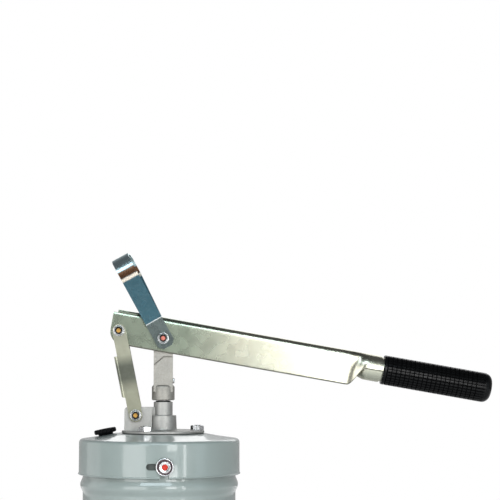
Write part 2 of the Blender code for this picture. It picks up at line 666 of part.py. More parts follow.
def strap_outline():
    """Closed outline (y, v) of the bent strap: outer side, then inner side back."""
    outline = []
    for inset, flip in ((0.0, 1), (STRAP_SHEET, -1)):
        half = STRAP_INNER + STRAP_SHEET - inset
        top = arc((0, STRAP_TOP - STRAP_ARC_R), STRAP_ARC_R - inset, -9, 189, 12)
        side = [(half, STRAP_LOW), (half, STRAP_CREASE), *top, (-half, STRAP_CREASE), (-half, STRAP_LOW)]
        outline += side[::flip]
    return outline


def build_strap(strap, steel_zinc):
    """Bent flat strap; its local z runs from the rod pin to the top of the loop."""
    quarter = Matrix.Rotation(HALF_TURN / 2, 4, "Z")
    loop = prism("carry_strap", strap_outline(), -STRAP_HALF_WIDTH, STRAP_HALF_WIDTH, steel_zinc,
                 turn=quarter, parent=strap)
    side, corner = STRAP_HALF_WIDTH, 4.8
    for label, sign in (("left", -1), ("right", 1)):
        wedge = [(sign * (side + 1), STRAP_LOW - 1), (sign * (side + 1), STRAP_LOW + corner + 1),
                 (sign * (side - corner - 1), STRAP_LOW - 1)]
        cut(loop, prism(f"strap_corner_{label}", wedge, -20, 20, None, parent=strap))
    cut(loop, rod("strap_hole", PIN_HOLE_R, -20, 20, None, 16, parent=strap,
                  rotation=(HALF_TURN / 2, 0, 0)))


def main():
    clear_scene()
    steel_paint = material("grey_green_paint", (0.34, 0.38, 0.37), 0.3, 0.0)
    casting = material("cast_zinc", (0.46, 0.44, 0.41), 0.5, 0.9)
    steel_zinc = material("yellow_zinc_steel", (0.50, 0.48, 0.38), 0.35, 1.0)
    blue_zinc = material("blue_zinc_steel", (0.30, 0.38, 0.42), 0.3, 1.0)
    zinc = material("bright_zinc", (0.66, 0.66, 0.66), 0.3, 1.0)
    steel = material("plain_steel", (0.5, 0.5, 0.5), 0.35, 1.0)
    bearing_steel = material("ball_steel", (0.7, 0.7, 0.7), 0.15, 1.0)
    brass = material("brass", (0.65, 0.5, 0.24), 0.35, 1.0)
    rubber = material("black_rubber", (0.02, 0.02, 0.02), 0.7, 0.0)
    plastic = material("black_plastic", (0.015, 0.016, 0.017), 0.45, 0.0)

    build_container(steel_paint, zinc)
    build_clamp_screws(zinc)
    build_lid(steel_paint, rubber)
    build_filler_plug(plastic)

    pump = pivot("pump_axis", (PUMP_X, 0, 0))
    build_pump_head(pump, casting, rubber, zinc, brass)
    build_suction_end(pump, steel, brass, bearing_steel)
    build_rod(pump, steel, rubber, brass, bearing_steel, casting, zinc)

    link_lean = math.atan2(PIN_B[0] - PIN_A[0], PIN_B[1] - PIN_A[1])
    link = pivot("lower_link_axis", (PIN_A[0], 0, PIN_A[1]), (0, link_lean, 0), pump)
    build_link(link, steel_zinc, zinc)
    lever = pivot("upper_link_axis", (PIN_B[0], 0, PIN_B[1]), (0, LEVER_TILT, 0), pump)
    build_lever(lever, steel_zinc, plastic, zinc)
    strap = pivot("rod_pin_axis", (PIN_C[0], 0, PIN_C[1]), (0, -STRAP_LEAN, 0), pump)
    build_strap(strap, blue_zinc)


main()
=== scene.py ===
import json
from math import atan2, cos, dist, exp, hypot, pi, radians, sin, sqrt

import bmesh
import bpy
from mathutils import Matrix, Vector


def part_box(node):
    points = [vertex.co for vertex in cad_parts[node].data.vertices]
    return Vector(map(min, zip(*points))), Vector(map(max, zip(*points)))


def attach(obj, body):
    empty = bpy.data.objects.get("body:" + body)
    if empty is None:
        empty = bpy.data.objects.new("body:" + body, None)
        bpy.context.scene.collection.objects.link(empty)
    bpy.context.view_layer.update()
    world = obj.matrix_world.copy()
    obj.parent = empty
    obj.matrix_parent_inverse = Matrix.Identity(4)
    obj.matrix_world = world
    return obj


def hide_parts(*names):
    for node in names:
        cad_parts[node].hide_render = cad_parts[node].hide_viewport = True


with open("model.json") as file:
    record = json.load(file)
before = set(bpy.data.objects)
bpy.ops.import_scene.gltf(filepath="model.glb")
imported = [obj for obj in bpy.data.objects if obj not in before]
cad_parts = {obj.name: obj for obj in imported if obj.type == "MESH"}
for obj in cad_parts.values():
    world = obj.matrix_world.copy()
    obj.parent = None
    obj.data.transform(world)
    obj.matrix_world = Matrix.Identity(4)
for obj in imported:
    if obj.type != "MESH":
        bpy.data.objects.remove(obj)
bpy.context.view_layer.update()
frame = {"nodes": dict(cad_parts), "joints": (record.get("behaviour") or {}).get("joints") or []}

MM = 0.001
GAP = 0.3
TURN = 2 * pi
QUARTER = pi / 2


# ---------------- measures from the frame

def corners(node):
    """Lowest and highest corner of a CAD node, in millimetres."""
    low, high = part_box(node)
    return low / MM, high / MM


def middle_of(node):
    """Middle of a CAD node's box, in millimetres."""
    low, high = corners(node)
    return (low + high) / 2


def joint(name):
    return next(item for item in frame["joints"] if item["name"] == name)


def joint_place(name):
    """A point on a joint's axis, in millimetres."""
    return Vector(joint(name)["pos_m"]) / MM


SHELL_LOW, SHELL_HIGH = corners("container_shell")
LID_LOW, LID_HIGH = corners("lid")
BEAD_DEPTH = 2.8
WALL_R = SHELL_HIGH.x - BEAD_DEPTH
WALL = 1.2
RIM_Z = SHELL_HIGH.z
WALL_TOP = 344.0  # where the wall ends and the curled rim begins
CURL_R = 2.6
BEAD_HEIGHT = 18.0
BEAD_CENTRES = (303.0, 276.5, 46.0)
LIP = 0.9  # how far the lid's lower lip stands out
LID_R = LID_HIGH.x - LIP
LID_SHEET = 1.3
LID_LAND_R = 51.0
LID_LAND_Z = LID_HIGH.z
SKIRT_Z = LID_LOW.z
SCREW_Z = joint_place("clamp_screw_a_turn").z
SCREW_BODIES = ("clamp_screw_a", "clamp_screw_b", "clamp_screw_c")
SCREW_ANGLES = [atan2(*joint_place(f"{body}_turn").yx) for body in SCREW_BODIES]
SHANK_R = 3.2
SLOT_HEIGHT = 7.0
NOTCH_WIDTH = 9.0
SLOT_TURN = radians(joint("lid_turn")["range_deg"][1])
HEAD_BOLTS = ("head_bolt_1", "head_bolt_2", "head_bolt_3")

PIN_A = joint_place("link_swing")
PIN_B = joint_place("lever_pump")
PIN_C = joint_place("strap_fold")
PUMP_X = PIN_C.x
PIN_HOLE_R = 3.3
LEVER_TILT = radians(10.0)
STRAP_LEAN = radians(28.8)
FACING = (QUARTER, 0, 0)  # turns a piece's local z to the front
TO_REAR = (-QUARTER, 0, 0)


# ---------------- materials

class Tree:
    """A node tree that is filled by plain calls."""

    def __init__(self, tree):
        self.tree = tree

    def add(self, kind, inputs=None, **settings):
        node = self.tree.nodes.new(kind)
        for key, value in settings.items():
            setattr(node, key, value)
        for key, value in (inputs or {}).items():
            self.put(node.inputs[key], value)
        return node

    def put(self, socket, value):
        if isinstance(value, bpy.types.NodeSocket):
            self.tree.links.new(value, socket)
        else:
            socket.default_value = value


class Look(Tree):
    """A Principled material built up from noise; textures follow each piece's own coordinates."""

    def __init__(self, name, color, roughness, metallic, **sockets):
        self.material = bpy.data.materials.new(name)
        self.material.use_nodes = True
        super().__init__(self.material.node_tree)
        self.shader = self.tree.nodes["Principled BSDF"]
        self.put(self.shader.inputs["Base Color"], (*color, 1))
        self.put(self.shader.inputs["Roughness"], roughness)
        self.put(self.shader.inputs["Metallic"], metallic)
        for socket, value in sockets.items():
            self.put(self.shader.inputs[socket.replace("_", " ")], value)
        self.place = self.add("ShaderNodeTexCoord").outputs["Object"]
        self.normal = None

    def noise(self, size, detail=2.0, stretch=(1, 1, 1)):
        """Noise from 0 to 1 with features of a size in millimetres, drawn out where stretch is above 1."""
        scale = [1 / (size * MM * factor) for factor in stretch]
        moved = self.add("ShaderNodeMapping", {"Vector": self.place, "Scale": scale})
        inputs = {"Vector": moved.outputs["Vector"], "Scale": 1.0, "Detail": detail}
        return self.add("ShaderNodeTexNoise", inputs).outputs["Fac"]

    def level(self, value, low, high, start=0.3, end=0.7):
        """Map a noise from start..end to low..high."""
        inputs = {"Value": value, "From Min": start, "From Max": end, "To Min": low, "To Max": high}
        return self.add("ShaderNodeMapRange", inputs).outputs["Result"]

    def band(self, axis, start, full, end, gone):
        """1 between full and end along one of the piece's own axes, fading to 0 at start and gone."""
        waver = 0.3 * MM
        wobble = self.level(self.noise(6, 2), -waver, waver)
        height = self.add("ShaderNodeSeparateXYZ", {"Vector": self.place}).outputs[axis]
        moved = self.add("ShaderNodeMath", {0: height, 1: wobble}, operation="ADD").outputs["Value"]
        rise = self.level(moved, 0, 1, start * MM, full * MM)
        fall = self.level(moved, 1, 0, end * MM, gone * MM)
        return self.add("ShaderNodeMath", {0: rise, 1: fall}, operation="MULTIPLY").outputs["Value"]

    def mix(self, share, first, second):
        node = self.add("ShaderNodeMix", {0: share}, data_type="RGBA")
        for number, value in ((6, first), (7, second)):
            self.put(node.inputs[number], value if isinstance(value, bpy.types.NodeSocket) else (*value, 1))
        return node.outputs[2]

    def color(self, value):
        self.put(self.shader.inputs["Base Color"], value)

    def roughness(self, value):
        self.put(self.shader.inputs["Roughness"], value)

    def bump(self, height, depth):
        """Add relief of a depth in millimetres on top of what is there."""
        inputs = {"Height": height, "Distance": depth * MM, "Strength": 1.0}
        if self.normal:
            inputs["Normal"] = self.normal
        self.normal = self.add("ShaderNodeBump", inputs).outputs["Normal"]
        self.put(self.shader.inputs["Normal"], self.normal)


def paint_look():
    """Glossy grey-green enamel with a fine orange peel."""
    look = Look("grey_green_enamel", (0.33, 0.38, 0.36), 0.3, 0.0, Coat_Weight=0.7, Coat_Roughness=0.05)
    broad = look.mix(look.level(look.noise(38, 3), 0, 1), (0.240, 0.286, 0.272), (0.263, 0.309, 0.295))
    look.color(look.mix(look.level(look.noise(0.8, 2), 0, 0.12), broad, (0.29, 0.33, 0.32)))
    look.roughness(look.level(look.noise(9, 3), 0.28, 0.34))
    look.bump(look.noise(60, 1), 0.25)
    look.bump(look.noise(2.4, 1), 0.010)
    look.bump(look.noise(0.7, 1), 0.0015)
    return look.material


def cast_look(name, color, tint, shine):
    """Bare die-cast metal: mottled, with a fine pebbled skin."""
    look = Look(name, color, shine, 0.85)
    patches = look.mix(look.level(look.noise(11, 3), 0, 1), color, tint)
    specks = look.level(look.noise(0.55, 2), 0, 1, 0.56, 0.72)
    pale = [min(channel * 1.35, 0.9) for channel in color]
    look.color(look.mix(specks, patches, pale))
    look.roughness(look.level(look.noise(2.2, 3), shine - 0.07, shine + 0.1))
    look.bump(look.noise(0.8, 2), 0.035)
    look.bump(look.noise(6, 2), 0.05)
    return look.material


def zinc_look(name, color, tint, shade, shine, grain=(1, 1, 1), painted_light_bands=()):
    """Plated sheet: soft patches of passivation, drawn-out rolling marks and small spangles.

    Each band (axis, start, full, end, gone, color) paints light and shade onto the sheet between two places
    along the piece.
    """
    look = Look(name, color, shine, 1.0)
    patches = look.mix(look.level(look.noise(26, 1), 0, 1), color, tint)
    marks = look.level(look.noise(5.0, 1, grain), 0, 0.32, 0.3, 0.8)
    marks_and_painted_light = look.mix(marks, patches, shade)
    for *places, painted_color in painted_light_bands:
        marks_and_painted_light = look.mix(look.band(*places), marks_and_painted_light, painted_color)
    spangle = look.level(look.noise(3.2, 0), 0, 0.07, 0.4, 0.75)
    bright = look.mix(0.22, marks_and_painted_light, (0.95, 0.95, 0.92))
    look.color(look.mix(spangle, marks_and_painted_light, bright))
    look.roughness(look.level(look.noise(9, 1, grain), shine - 0.02, shine + 0.02))
    look.bump(look.noise(5, 1, grain), 0.004)
    return look.material


def turned_look(name, color, tint, shine):
    """Machined or plated small parts with fine scratches."""
    look = Look(name, color, shine, 1.0)
    look.color(look.mix(look.level(look.noise(4, 3), 0, 1), color, tint))
    look.roughness(look.level(look.noise(1.5, 3), shine - 0.06, shine + 0.1))
    look.bump(look.noise(0.35, 2, (1, 1, 6)), 0.006)
    look.bump(look.noise(3, 2), 0.02)
    return look.material


def soft_look(name, color, tint, shine, grain, depth, gloss=0.22):
    """Moulded rubber or plastic with a matt grained skin and faint scuffs."""
    look = Look(name, color, shine, 0.0, Specular_IOR_Level=gloss)
    scuffs = look.level(look.noise(1.3, 4, (6, 1, 1)), 0, 1, 0.6, 0.78)
    look.color(look.mix(scuffs, look.mix(look.level(look.noise(7, 3), 0, 1), color, tint),
                        [channel * 1.6 + 0.001 for channel in color]))
    look.roughness(look.level(look.noise(2.5, 3), shine - 0.08, shine + 0.1))
    look.bump(look.noise(grain, 2), depth)
    return look.material


def floor_look():
    """Pale floor with a faint glow far out, where the studio lights don't reach."""
    look = Look("pale_floor", (0.82, 0.82, 0.82), 0.6, 0.0)
    distance = look.add("ShaderNodeVectorMath", {0: look.place}, operation="LENGTH").outputs["Value"]
    look.put(look.shader.inputs["Emission Strength"], look.level(distance, 0, 0.82, 0.2, 2.0))
    look.put(look.shader.inputs["Emission Color"], (1, 1, 1, 1))
    look.color(look.mix(look.level(look.noise(400, 2), 0, 1), (0.80, 0.80, 0.80), (0.84, 0.84, 0.84)))
    look.bump(look.noise(8, 2), 0.05)
    return look.material


PAINT = paint_look()
CAST = cast_look("cast_pump_head", (0.375, 0.375, 0.36), (0.42, 0.415, 0.395), 0.52)
ROD_CAST = cast_look("cast_rod_head", (0.365, 0.352, 0.320), (0.315, 0.306, 0.28), 0.56)
LEVER_ZINC_WITH_PAINTED_LIGHT = zinc_look(
    "yellow_zinc_lever_with_painted_light", (0.615, 0.61, 0.49), (0.57, 0.58, 0.475), (0.50, 0.49, 0.39), 0.27, (1.5, 1, 1.5),
    [("X", -40, -30, 72, 138, (0.37, 0.43, 0.335)),  # painted reflection: darker and greener round the two bolts
     ("X", 256, 264, 272, 280, (0.42, 0.41, 0.33))])  # painted shade: darker where the sheet is rolled
LINK_ZINC_WITH_PAINTED_SHADE = zinc_look(
    "yellow_zinc_link_with_painted_shade", (0.445, 0.45, 0.35), (0.40, 0.415, 0.325), (0.34, 0.335, 0.26), 0.34, (1, 1, 1.5),
    # painted shade: the lower part of the plates is darker
    [("Z", -10, -9, 24, 34, (0.36, 0.365, 0.28)),
     ("Z", 26, 42, 56, 68, (0.145, 0.155, 0.125))])  # painted shade: a dark stripe across the middle
STRAP_ZINC_WITH_PAINTED_LIGHT = zinc_look(
    "blue_zinc_strap_with_painted_light", (0.060, 0.135, 0.17), (0.050, 0.115, 0.148), (0.07, 0.15, 0.185), 0.27, (1, 1, 1.5),
    [("Z", -30, -29, 21.2, 21.6, (0.19, 0.235, 0.23)),  # painted reflection: grey foot below the crease
     ("Z", 21.2, 21.6, 22.2, 22.7, (0.75, 0.80, 0.80)),  # painted highlight along the crease
     ("Z", 74.5, 76.0, 78.5, 80.0, (0.88, 0.80, 0.68)),  # painted reflections: cream, brown and pale stripes over the bow
     ("Z", 79.0, 80.5, 86.0, 89.0, (0.13, 0.065, 0.034)),
     ("Z", 87.0, 90.0, 120, 121, (0.68, 0.87, 0.91))])
BRIGHT = turned_look("bright_zinc", (0.78, 0.79, 0.79), (0.70, 0.72, 0.74), 0.2)
GOLD_END = turned_look("passivated_thread_end", (0.62, 0.36, 0.10), (0.45, 0.25, 0.07), 0.35)
ROSE_END = turned_look("marked_thread_end", (0.62, 0.22, 0.17), (0.50, 0.16, 0.13), 0.38)
CUT_EDGE_AND_SHADE = turned_look("cut_edge_and_painted_shade", (0.21, 0.21, 0.17), (0.14, 0.145, 0.12), 0.4)
SHADED_ZINC = turned_look("shaded_zinc", (0.20, 0.15, 0.165), (0.13, 0.10, 0.11), 0.3)
NYLON_AND_SHADE = soft_look("lock_ring_and_painted_shade", (0.018, 0.014, 0.014), (0.03, 0.022, 0.02), 0.35, 0.4, 0.01)
SHADED_PAINT = soft_look("shaded_enamel", (0.085, 0.098, 0.092), (0.105, 0.120, 0.113), 0.4, 0.8, 0.004,
                         0.3)
RED_CAP = soft_look("red_insert", (0.62, 0.045, 0.025), (0.50, 0.03, 0.02), 0.3, 0.5, 0.01)
STEEL = turned_look("plain_steel", (0.56, 0.56, 0.55), (0.48, 0.48, 0.47), 0.3)
BALL_STEEL = turned_look("ball_steel", (0.72, 0.72, 0.72), (0.66, 0.66, 0.67), 0.12)
BRASS = turned_look("brass", (0.74, 0.55, 0.27), (0.66, 0.47, 0.22), 0.3)
RUBBER = soft_look("black_rubber", (0.016, 0.016, 0.016), (0.024, 0.024, 0.024), 0.6, 0.5, 0.01)
GRIP = soft_look("black_grip", (0.0022, 0.0024, 0.0026), (0.0030, 0.0032, 0.0034), 0.22, 0.8, 0.002, 0.14)
GRIP_GROOVE_SHADE = soft_look("black_grip_groove_painted_shade", (0.0012, 0.0013, 0.0014), (0.002, 0.002, 0.0022), 0.6, 0.8,
                        0.002, 0.02)
PLASTIC = soft_look("black_plastic", (0.003, 0.003, 0.0035), (0.004, 0.004, 0.0045), 0.3, 0.5, 0.004, 0.05)


# ---------------- mesh tools

def arc(centre, radius, start, end, steps):
    """Points on an arc, angles in degrees."""
    angles = [radians(start + (end - start) * i / steps) for i in range(steps + 1)]
    return [(centre[0] + radius * cos(a), centre[1] + radius * sin(a)) for a in angles]


def soften(points, radius, closed=True, steps=4):
    """Round the corners of an outline; long gentle bends stay as they are."""
    count = len(points)
    result = []
    for i, point in enumerate(points):
        corner = Vector(point)
        before, after = Vector(points[i - 1]) - corner, Vector(points[(i + 1) % count]) - corner
        reach = min(radius, before.length * 0.48, after.length * 0.48)
        end_point = not closed and i in (0, count - 1)
        if end_point or reach < 0.02 or before.angle(after) > radians(158):
            result.append(point)
            continue
        start, end = corner + before.normalized() * reach, corner + after.normalized() * reach
        for step in range(steps + 1):
            t = step / steps
            result.append(tuple(start * (1 - t) ** 2 + corner * 2 * t * (1 - t) + end * t ** 2))
    return result


def skin(bm, rings, closed=False, tones=None):
    """Join rings by quads, with a fan where a ring is one point; open ends are capped."""
    pairs = list(zip(rings, rings[1:]))
    if closed:
        pairs.append((rings[-1], rings[0]))
    for band, (first, second) in enumerate(pairs):
        count = max(len(first), len(second))
        for i in range(count):
            j = (i + 1) % count
            around = list(dict.fromkeys([first[i % len(first)], first[j % len(first)],
                                         second[j % len(second)], second[i % len(second)]]))
            if len(around) > 2:
                face = bm.faces.new(around)
                face.material_index = tones[band] if tones else 0
    if not closed:
        for ring in (rings[0], rings[-1]):
            if len(ring) > 2:
                bm.faces.new(ring)


def lathe(profile, segments, shape=None, tone=None):
    """Turn a profile of (radius, z) about z; shape(r, z, angle) may move a point in or out."""
    bm = bmesh.new()
    rings = []
    for r, z in profile:
        if r == 0:
            rings.append([bm.verts.new((0, 0, z))])
            continue
        ring = []
        for i in range(segments):
            angle = TURN * i / segments
            out = shape(r, z, angle) if shape else r
            ring.append(bm.verts.new((out * cos(angle), out * sin(angle), z)))
        rings.append(ring)
    tones = None
    if tone:
        ends = zip(profile, profile[1:] + profile[:1])
        tones = [tone((a[0] + b[0]) / 2, (a[1] + b[1]) / 2) for a, b in ends]
    skin(bm, rings, closed=profile[0][0] > 0, tones=tones)
    return bm


def prism(outline, low, high, turn=None):
    """Extrude an outline of (x, z) points from y = low to y = high."""
    bm = bmesh.new()
    skin(bm, [[bm.verts.new((x, y, z)) for x, z in outline] for y in (low, high)])
    if turn:
        bmesh.ops.transform(bm, matrix=turn, verts=bm.verts)
    return bm


def box(low, high):
    outline = [(low[0], low[2]), (high[0], low[2]), (high[0], high[2]), (low[0], high[2])]
    return prism(outline, low[1], high[1])


def make(name, bm, location=(0, 0, 0), rotation=(0, 0, 0)):
    """A mesh in millimetres becomes an object in metres."""
    bmesh.ops.scale(bm, vec=(MM, MM, MM), verts=bm.verts)
    bmesh.ops.recalc_face_normals(bm, faces=bm.faces)
    mesh = bpy.data.meshes.new(name)
    bm.to_mesh(mesh)
    bm.free()
    obj = bpy.data.objects.new(name, mesh)
    obj.location = Vector(location) * MM
    obj.rotation_euler = rotation
    bpy.context.scene.collection.objects.link(obj)
    return obj


def combine(target, other, operation="DIFFERENCE"):
    """Cut or join for good, then drop the helper."""
    modifier = target.modifiers.new("shape", "BOOLEAN")
    modifier.operation = operation
    modifier.solver = "EXACT"
    modifier.object = other
    evaluated = target.evaluated_get(bpy.context.evaluated_depsgraph_get())
    mesh = bpy.data.meshes.new_from_object(evaluated)
    target.modifiers.remove(modifier)
    target.data = mesh
    bpy.data.objects.remove(other, do_unlink=True)


def hole(target, radius, low, high, **place):
    """Drill from low to high along the local z of a place."""
    rod = lathe([(0, low), (radius, low), (radius, high), (0, high)], 48)
    combine(target, make("cutter", rod, **place))


def drill_bolt_holes(target, top, offset=0.0):
    """Holes for the head bolts, up to a height, in a piece whose origin lies at x = offset."""
    slight_turn = 0.1  # keeps the cutter's facets off the other edges
    for node in HEAD_BOLTS:
        middle = middle_of(node)
        hole(target, 4.5, 350, top, location=(middle.x - offset, middle.y, 0), rotation=(0, 0, slight_turn))


def settle(obj, location, rotation=(0, 0, 0)):
    """Move a piece that was shaped at the origin to its place."""
    obj.location = Vector(location) * MM
    obj.rotation_euler = rotation
    bpy.context.view_layer.update()


def dress(obj, looks, body, nodes=(), bevel=0.0, sharp=32):
    """Shade a piece, give it its materials and tie it to the frame."""
    for look in looks:
        obj.data.materials.append(look)
    obj.data.shade_smooth()
    obj.data.set_sharp_from_angle(angle=radians(sharp))
    if bevel:
        rounding = obj.modifiers.new("edge_rounding", "BEVEL")
        rounding.width = bevel * MM
        rounding.segments = 3
        rounding.limit_method = "ANGLE"
        rounding.angle_limit = radians(40)
        weighted = obj.modifiers.new("even_shading", "WEIGHTED_NORMAL")
        weighted.keep_sharp = False
    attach(obj, body)
    if nodes:
        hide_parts(*nodes)


# ---------------- container and lid

def bead_side(radius):
    """Wall from the top bead to the bottom one, with each bead as a smooth swell."""
    points = []
    steps = 14
    for centre in BEAD_CENTRES:
        for i in range(steps + 1):
            share = i / steps
            swell = BEAD_DEPTH * sin(pi * share) ** 1.5
            points.append((radius + swell, centre + BEAD_HEIGHT * (0.5 - share)))
    return points


def seam_lift(r, z, angle):
    """The wall's welded seam stands a little proud at the rear."""
    offset = (angle - QUARTER) * WALL_R
    return r + (0.35 * exp(-(offset / 2.6) ** 2) if abs(r - WALL_R) < 0.01 else 0)


def build_container():
    low = SHELL_LOW.z
    shaded = 4.5  # half the height of the painted shadow ring behind the slots
    outer = [(WALL_R, WALL_TOP), (WALL_R, SCREW_Z + shaded), (WALL_R, SCREW_Z - shaded), *bead_side(WALL_R),
             (WALL_R, 30.0), (WALL_R, 9.0), (WALL_R + 0.5, 6.0), (WALL_R + 0.9, low)]
    inner_r = WALL_R - WALL
    inner = [(inner_r, low), *reversed(bead_side(inner_r)), (inner_r, WALL_TOP)]
    curl = arc((WALL_R + 0.9, RIM_Z - CURL_R), CURL_R, 200, -60, 14)
    curl = [(min(x, WALL_R + 2.4), z) for x, z in curl]

    # painted shadow: the wall behind the slots, shaded by the skirt, is toned dark
    def shadow_behind_slots(r, z):
        return 1 if abs(r - WALL_R) < 0.01 and abs(z - SCREW_Z) < 1 else 0

    shell = make("container_wall", lathe(outer + inner + curl, 240, seam_lift, shadow_behind_slots))
    for angle in SCREW_ANGLES:
        hole(shell, SHANK_R + GAP, WALL_R - 4, WALL_R + 4, **screw_place(angle))
    dress(shell, [PAINT, SHADED_PAINT], "container", ["container_shell"])
    edge = corners("container_base")[1]
    chime = soften([(0, 0), (edge.x - 2.5, 0), (edge.x, 0.2), (edge.x, edge.z), (WALL_R + 1.3, edge.z),
                    (WALL_R + 1.3, low - GAP), (0, low - GAP)], 1.0, closed=False)
    dish = [(0, 0.9), (70.0, 0.9), (72.0, 0)]
    base = make("container_floor", lathe(dish + chime[1:], 180))
    dress(base, [PAINT], "container", ["container_base"])


def screw_place(angle):
    return {"location": (0, 0, SCREW_Z), "rotation": (0, QUARTER, angle)}


def slot_outline():
    """Bayonet slot in the plane of the skirt: x is to the right as seen from outside."""
    reach = LID_R * sin(SLOT_TURN) + SHANK_R + GAP
    top = SLOT_HEIGHT / 2
    half = NOTCH_WIDTH / 2
    left = arc((-reach + top, 0), top, 90, 270, 20)
    mouth = [(-half - 1.2, -top), (-half, -top - 1.2), (-half, -20), (half, -20), (half, top - 2),
             (half - 2, top)]
    return [*left, *mouth]


def build_lid():
    inner_r = LID_R - LID_SHEET
    under = LID_LAND_Z - LID_SHEET
    lip = [(LID_R + 0.1, SKIRT_Z + 3.2), *arc((LID_R + 0.1, SKIRT_Z + 1.3), LIP - 0.1, 70, -75, 8)]
    inner = [(inner_r + 0.7, SKIRT_Z + 0.1), (inner_r, 317.0), (inner_r, 346.5), (inner_r - 0.4, 349.2),
             (inner_r - 1.4, 350.5), (82.5, 352.0), (LID_LAND_R, under), (12.0, under)]
    shoulder_r = 4.2
    shoulder = arc((LID_R - shoulder_r, 349.0), shoulder_r, 0, 84, 16)
    edge_r, edge_z = shoulder[-1]
    slope = []
    for r in (76.0, 70.0, 64.0, 58.0):
        share = (r - LID_LAND_R) / (edge_r - LID_LAND_R)
        sag = 0.35 * sin(pi * share)
        slope.append((r, LID_LAND_Z + (edge_z - LID_LAND_Z) * share - sag))
    top = [(LID_LAND_R + 1.2, LID_LAND_Z - 0.15), (LID_LAND_R - 1.5, LID_LAND_Z), (12.0, LID_LAND_Z)]
    profile = inner[::-1] + lip[::-1] + [(LID_R, 330.0), (LID_R, 342.0)] + shoulder + slope + top
    lid = make("lid_shell", lathe(profile, 256))
    pump_hole_r, plug_hole_r = 20.3, 8.6
    hole(lid, pump_hole_r, 340, 370, location=(PUMP_X, 0, 0))
    drill_bolt_holes(lid, 365)
    for angle in SCREW_ANGLES:
        cutter = make("cutter", prism(slot_outline(), -(LID_R + 6), -(LID_R - 6)),
                      location=(0, 0, SCREW_Z), rotation=(0, 0, angle + QUARTER))
        combine(lid, cutter)
    place, tilt = plug_place()
    hole(lid, plug_hole_r, -12, 12, location=place, rotation=tilt)
    dress(lid, [PAINT], "lid", ["lid"])


def plug_place():
    """Seat and tilt of the filler plug, from its joint's axis and its box."""
    axis = Vector(joint("plug_pull")["axis"])
    return middle_of("filler_plug") + axis, (0, atan2(axis.x, axis.z), 0)


def build_plug():
    lobes = 12

    def lobed(r, z, angle):
        share = min(max((z - 1.8) / 1.0, 0), 1) * min(max((r - 7) / 3, 0), 1)
        ridge = 0.5 * cos(lobes * angle)
        return r + share * (ridge - 0.15 * cos(2 * lobes * angle))

    profile = [(0, -9), (6.6, -9), (8.2, -7.5), (8.2, 1.6), (11.3, 2.0), (11.9, 3.0), (11.9, 6.0),
               (10.9, 7.0), (8.2, 7.0), (7.6, 5.9), (0, 5.9)]
    place, tilt = plug_place()
    plug = make("filler_plug_grip", lathe(soften(profile, 0.7, closed=False), 144, lobed), place, tilt)
    dress(plug, [PLASTIC], "plug", ["filler_plug"])


def build_clamp_screws():
    """Round heads with a bright rim, a channel toned dark as painted shade, a bright boss and a red insert.
    """
    seat = LID_R + 1.2
    tip = 74.0
    profile = [(0, tip), (SHANK_R - 0.6, tip), (SHANK_R, tip + 0.6), (SHANK_R, seat), (9.2, seat),
               (9.5, seat + 0.3), *arc((8.75, seat + 1.9), 0.75, 0, 180, 10), (7.9, seat + 0.9),
               (6.5, seat + 0.7), (6.3, seat + 4.9), (5.7, seat + 5.4), (3.4, seat + 5.2),
               (3.2, seat + 4.4), (0, seat + 4.4)]
    dome = [(0, seat + 4.45), (3.05, seat + 4.45), (3.05, seat + 4.9), (2.6, seat + 5.2), (1.2, seat + 5.05),
            (1.0, seat + 4.8), (0, seat + 4.75)]

    # painted shade: the channel between rim and boss is toned dark
    def painted_shade_channel(r, z):
        return 1 if 6.35 < r < 8.1 and z > seat + 0.4 else 0

    for number, (body, angle) in enumerate(zip(SCREW_BODIES, SCREW_ANGLES), 1):
        place = screw_place(angle)
        turned = lathe(soften(profile, 0.25, closed=False), 72, tone=painted_shade_channel)
        screw = make(f"clamp_screw_{number}_head", turned, **place)
        dress(screw, [BRIGHT, SHADED_ZINC], body, [f"clamp_screw_{number}"])
        insert = make(f"clamp_screw_{number}_insert", lathe(soften(dome, 0.2, closed=False), 48), **place)
        dress(insert, [RED_CAP], body)


# ---------------- pump head and rod

COLLAR_R = 15.0
NECK_R = 10.6
ROD_R = 5.95
SCREW_HOLE_Z = 417.2
BOLT_HEAD = 5.5  # height of the head bolts' heads


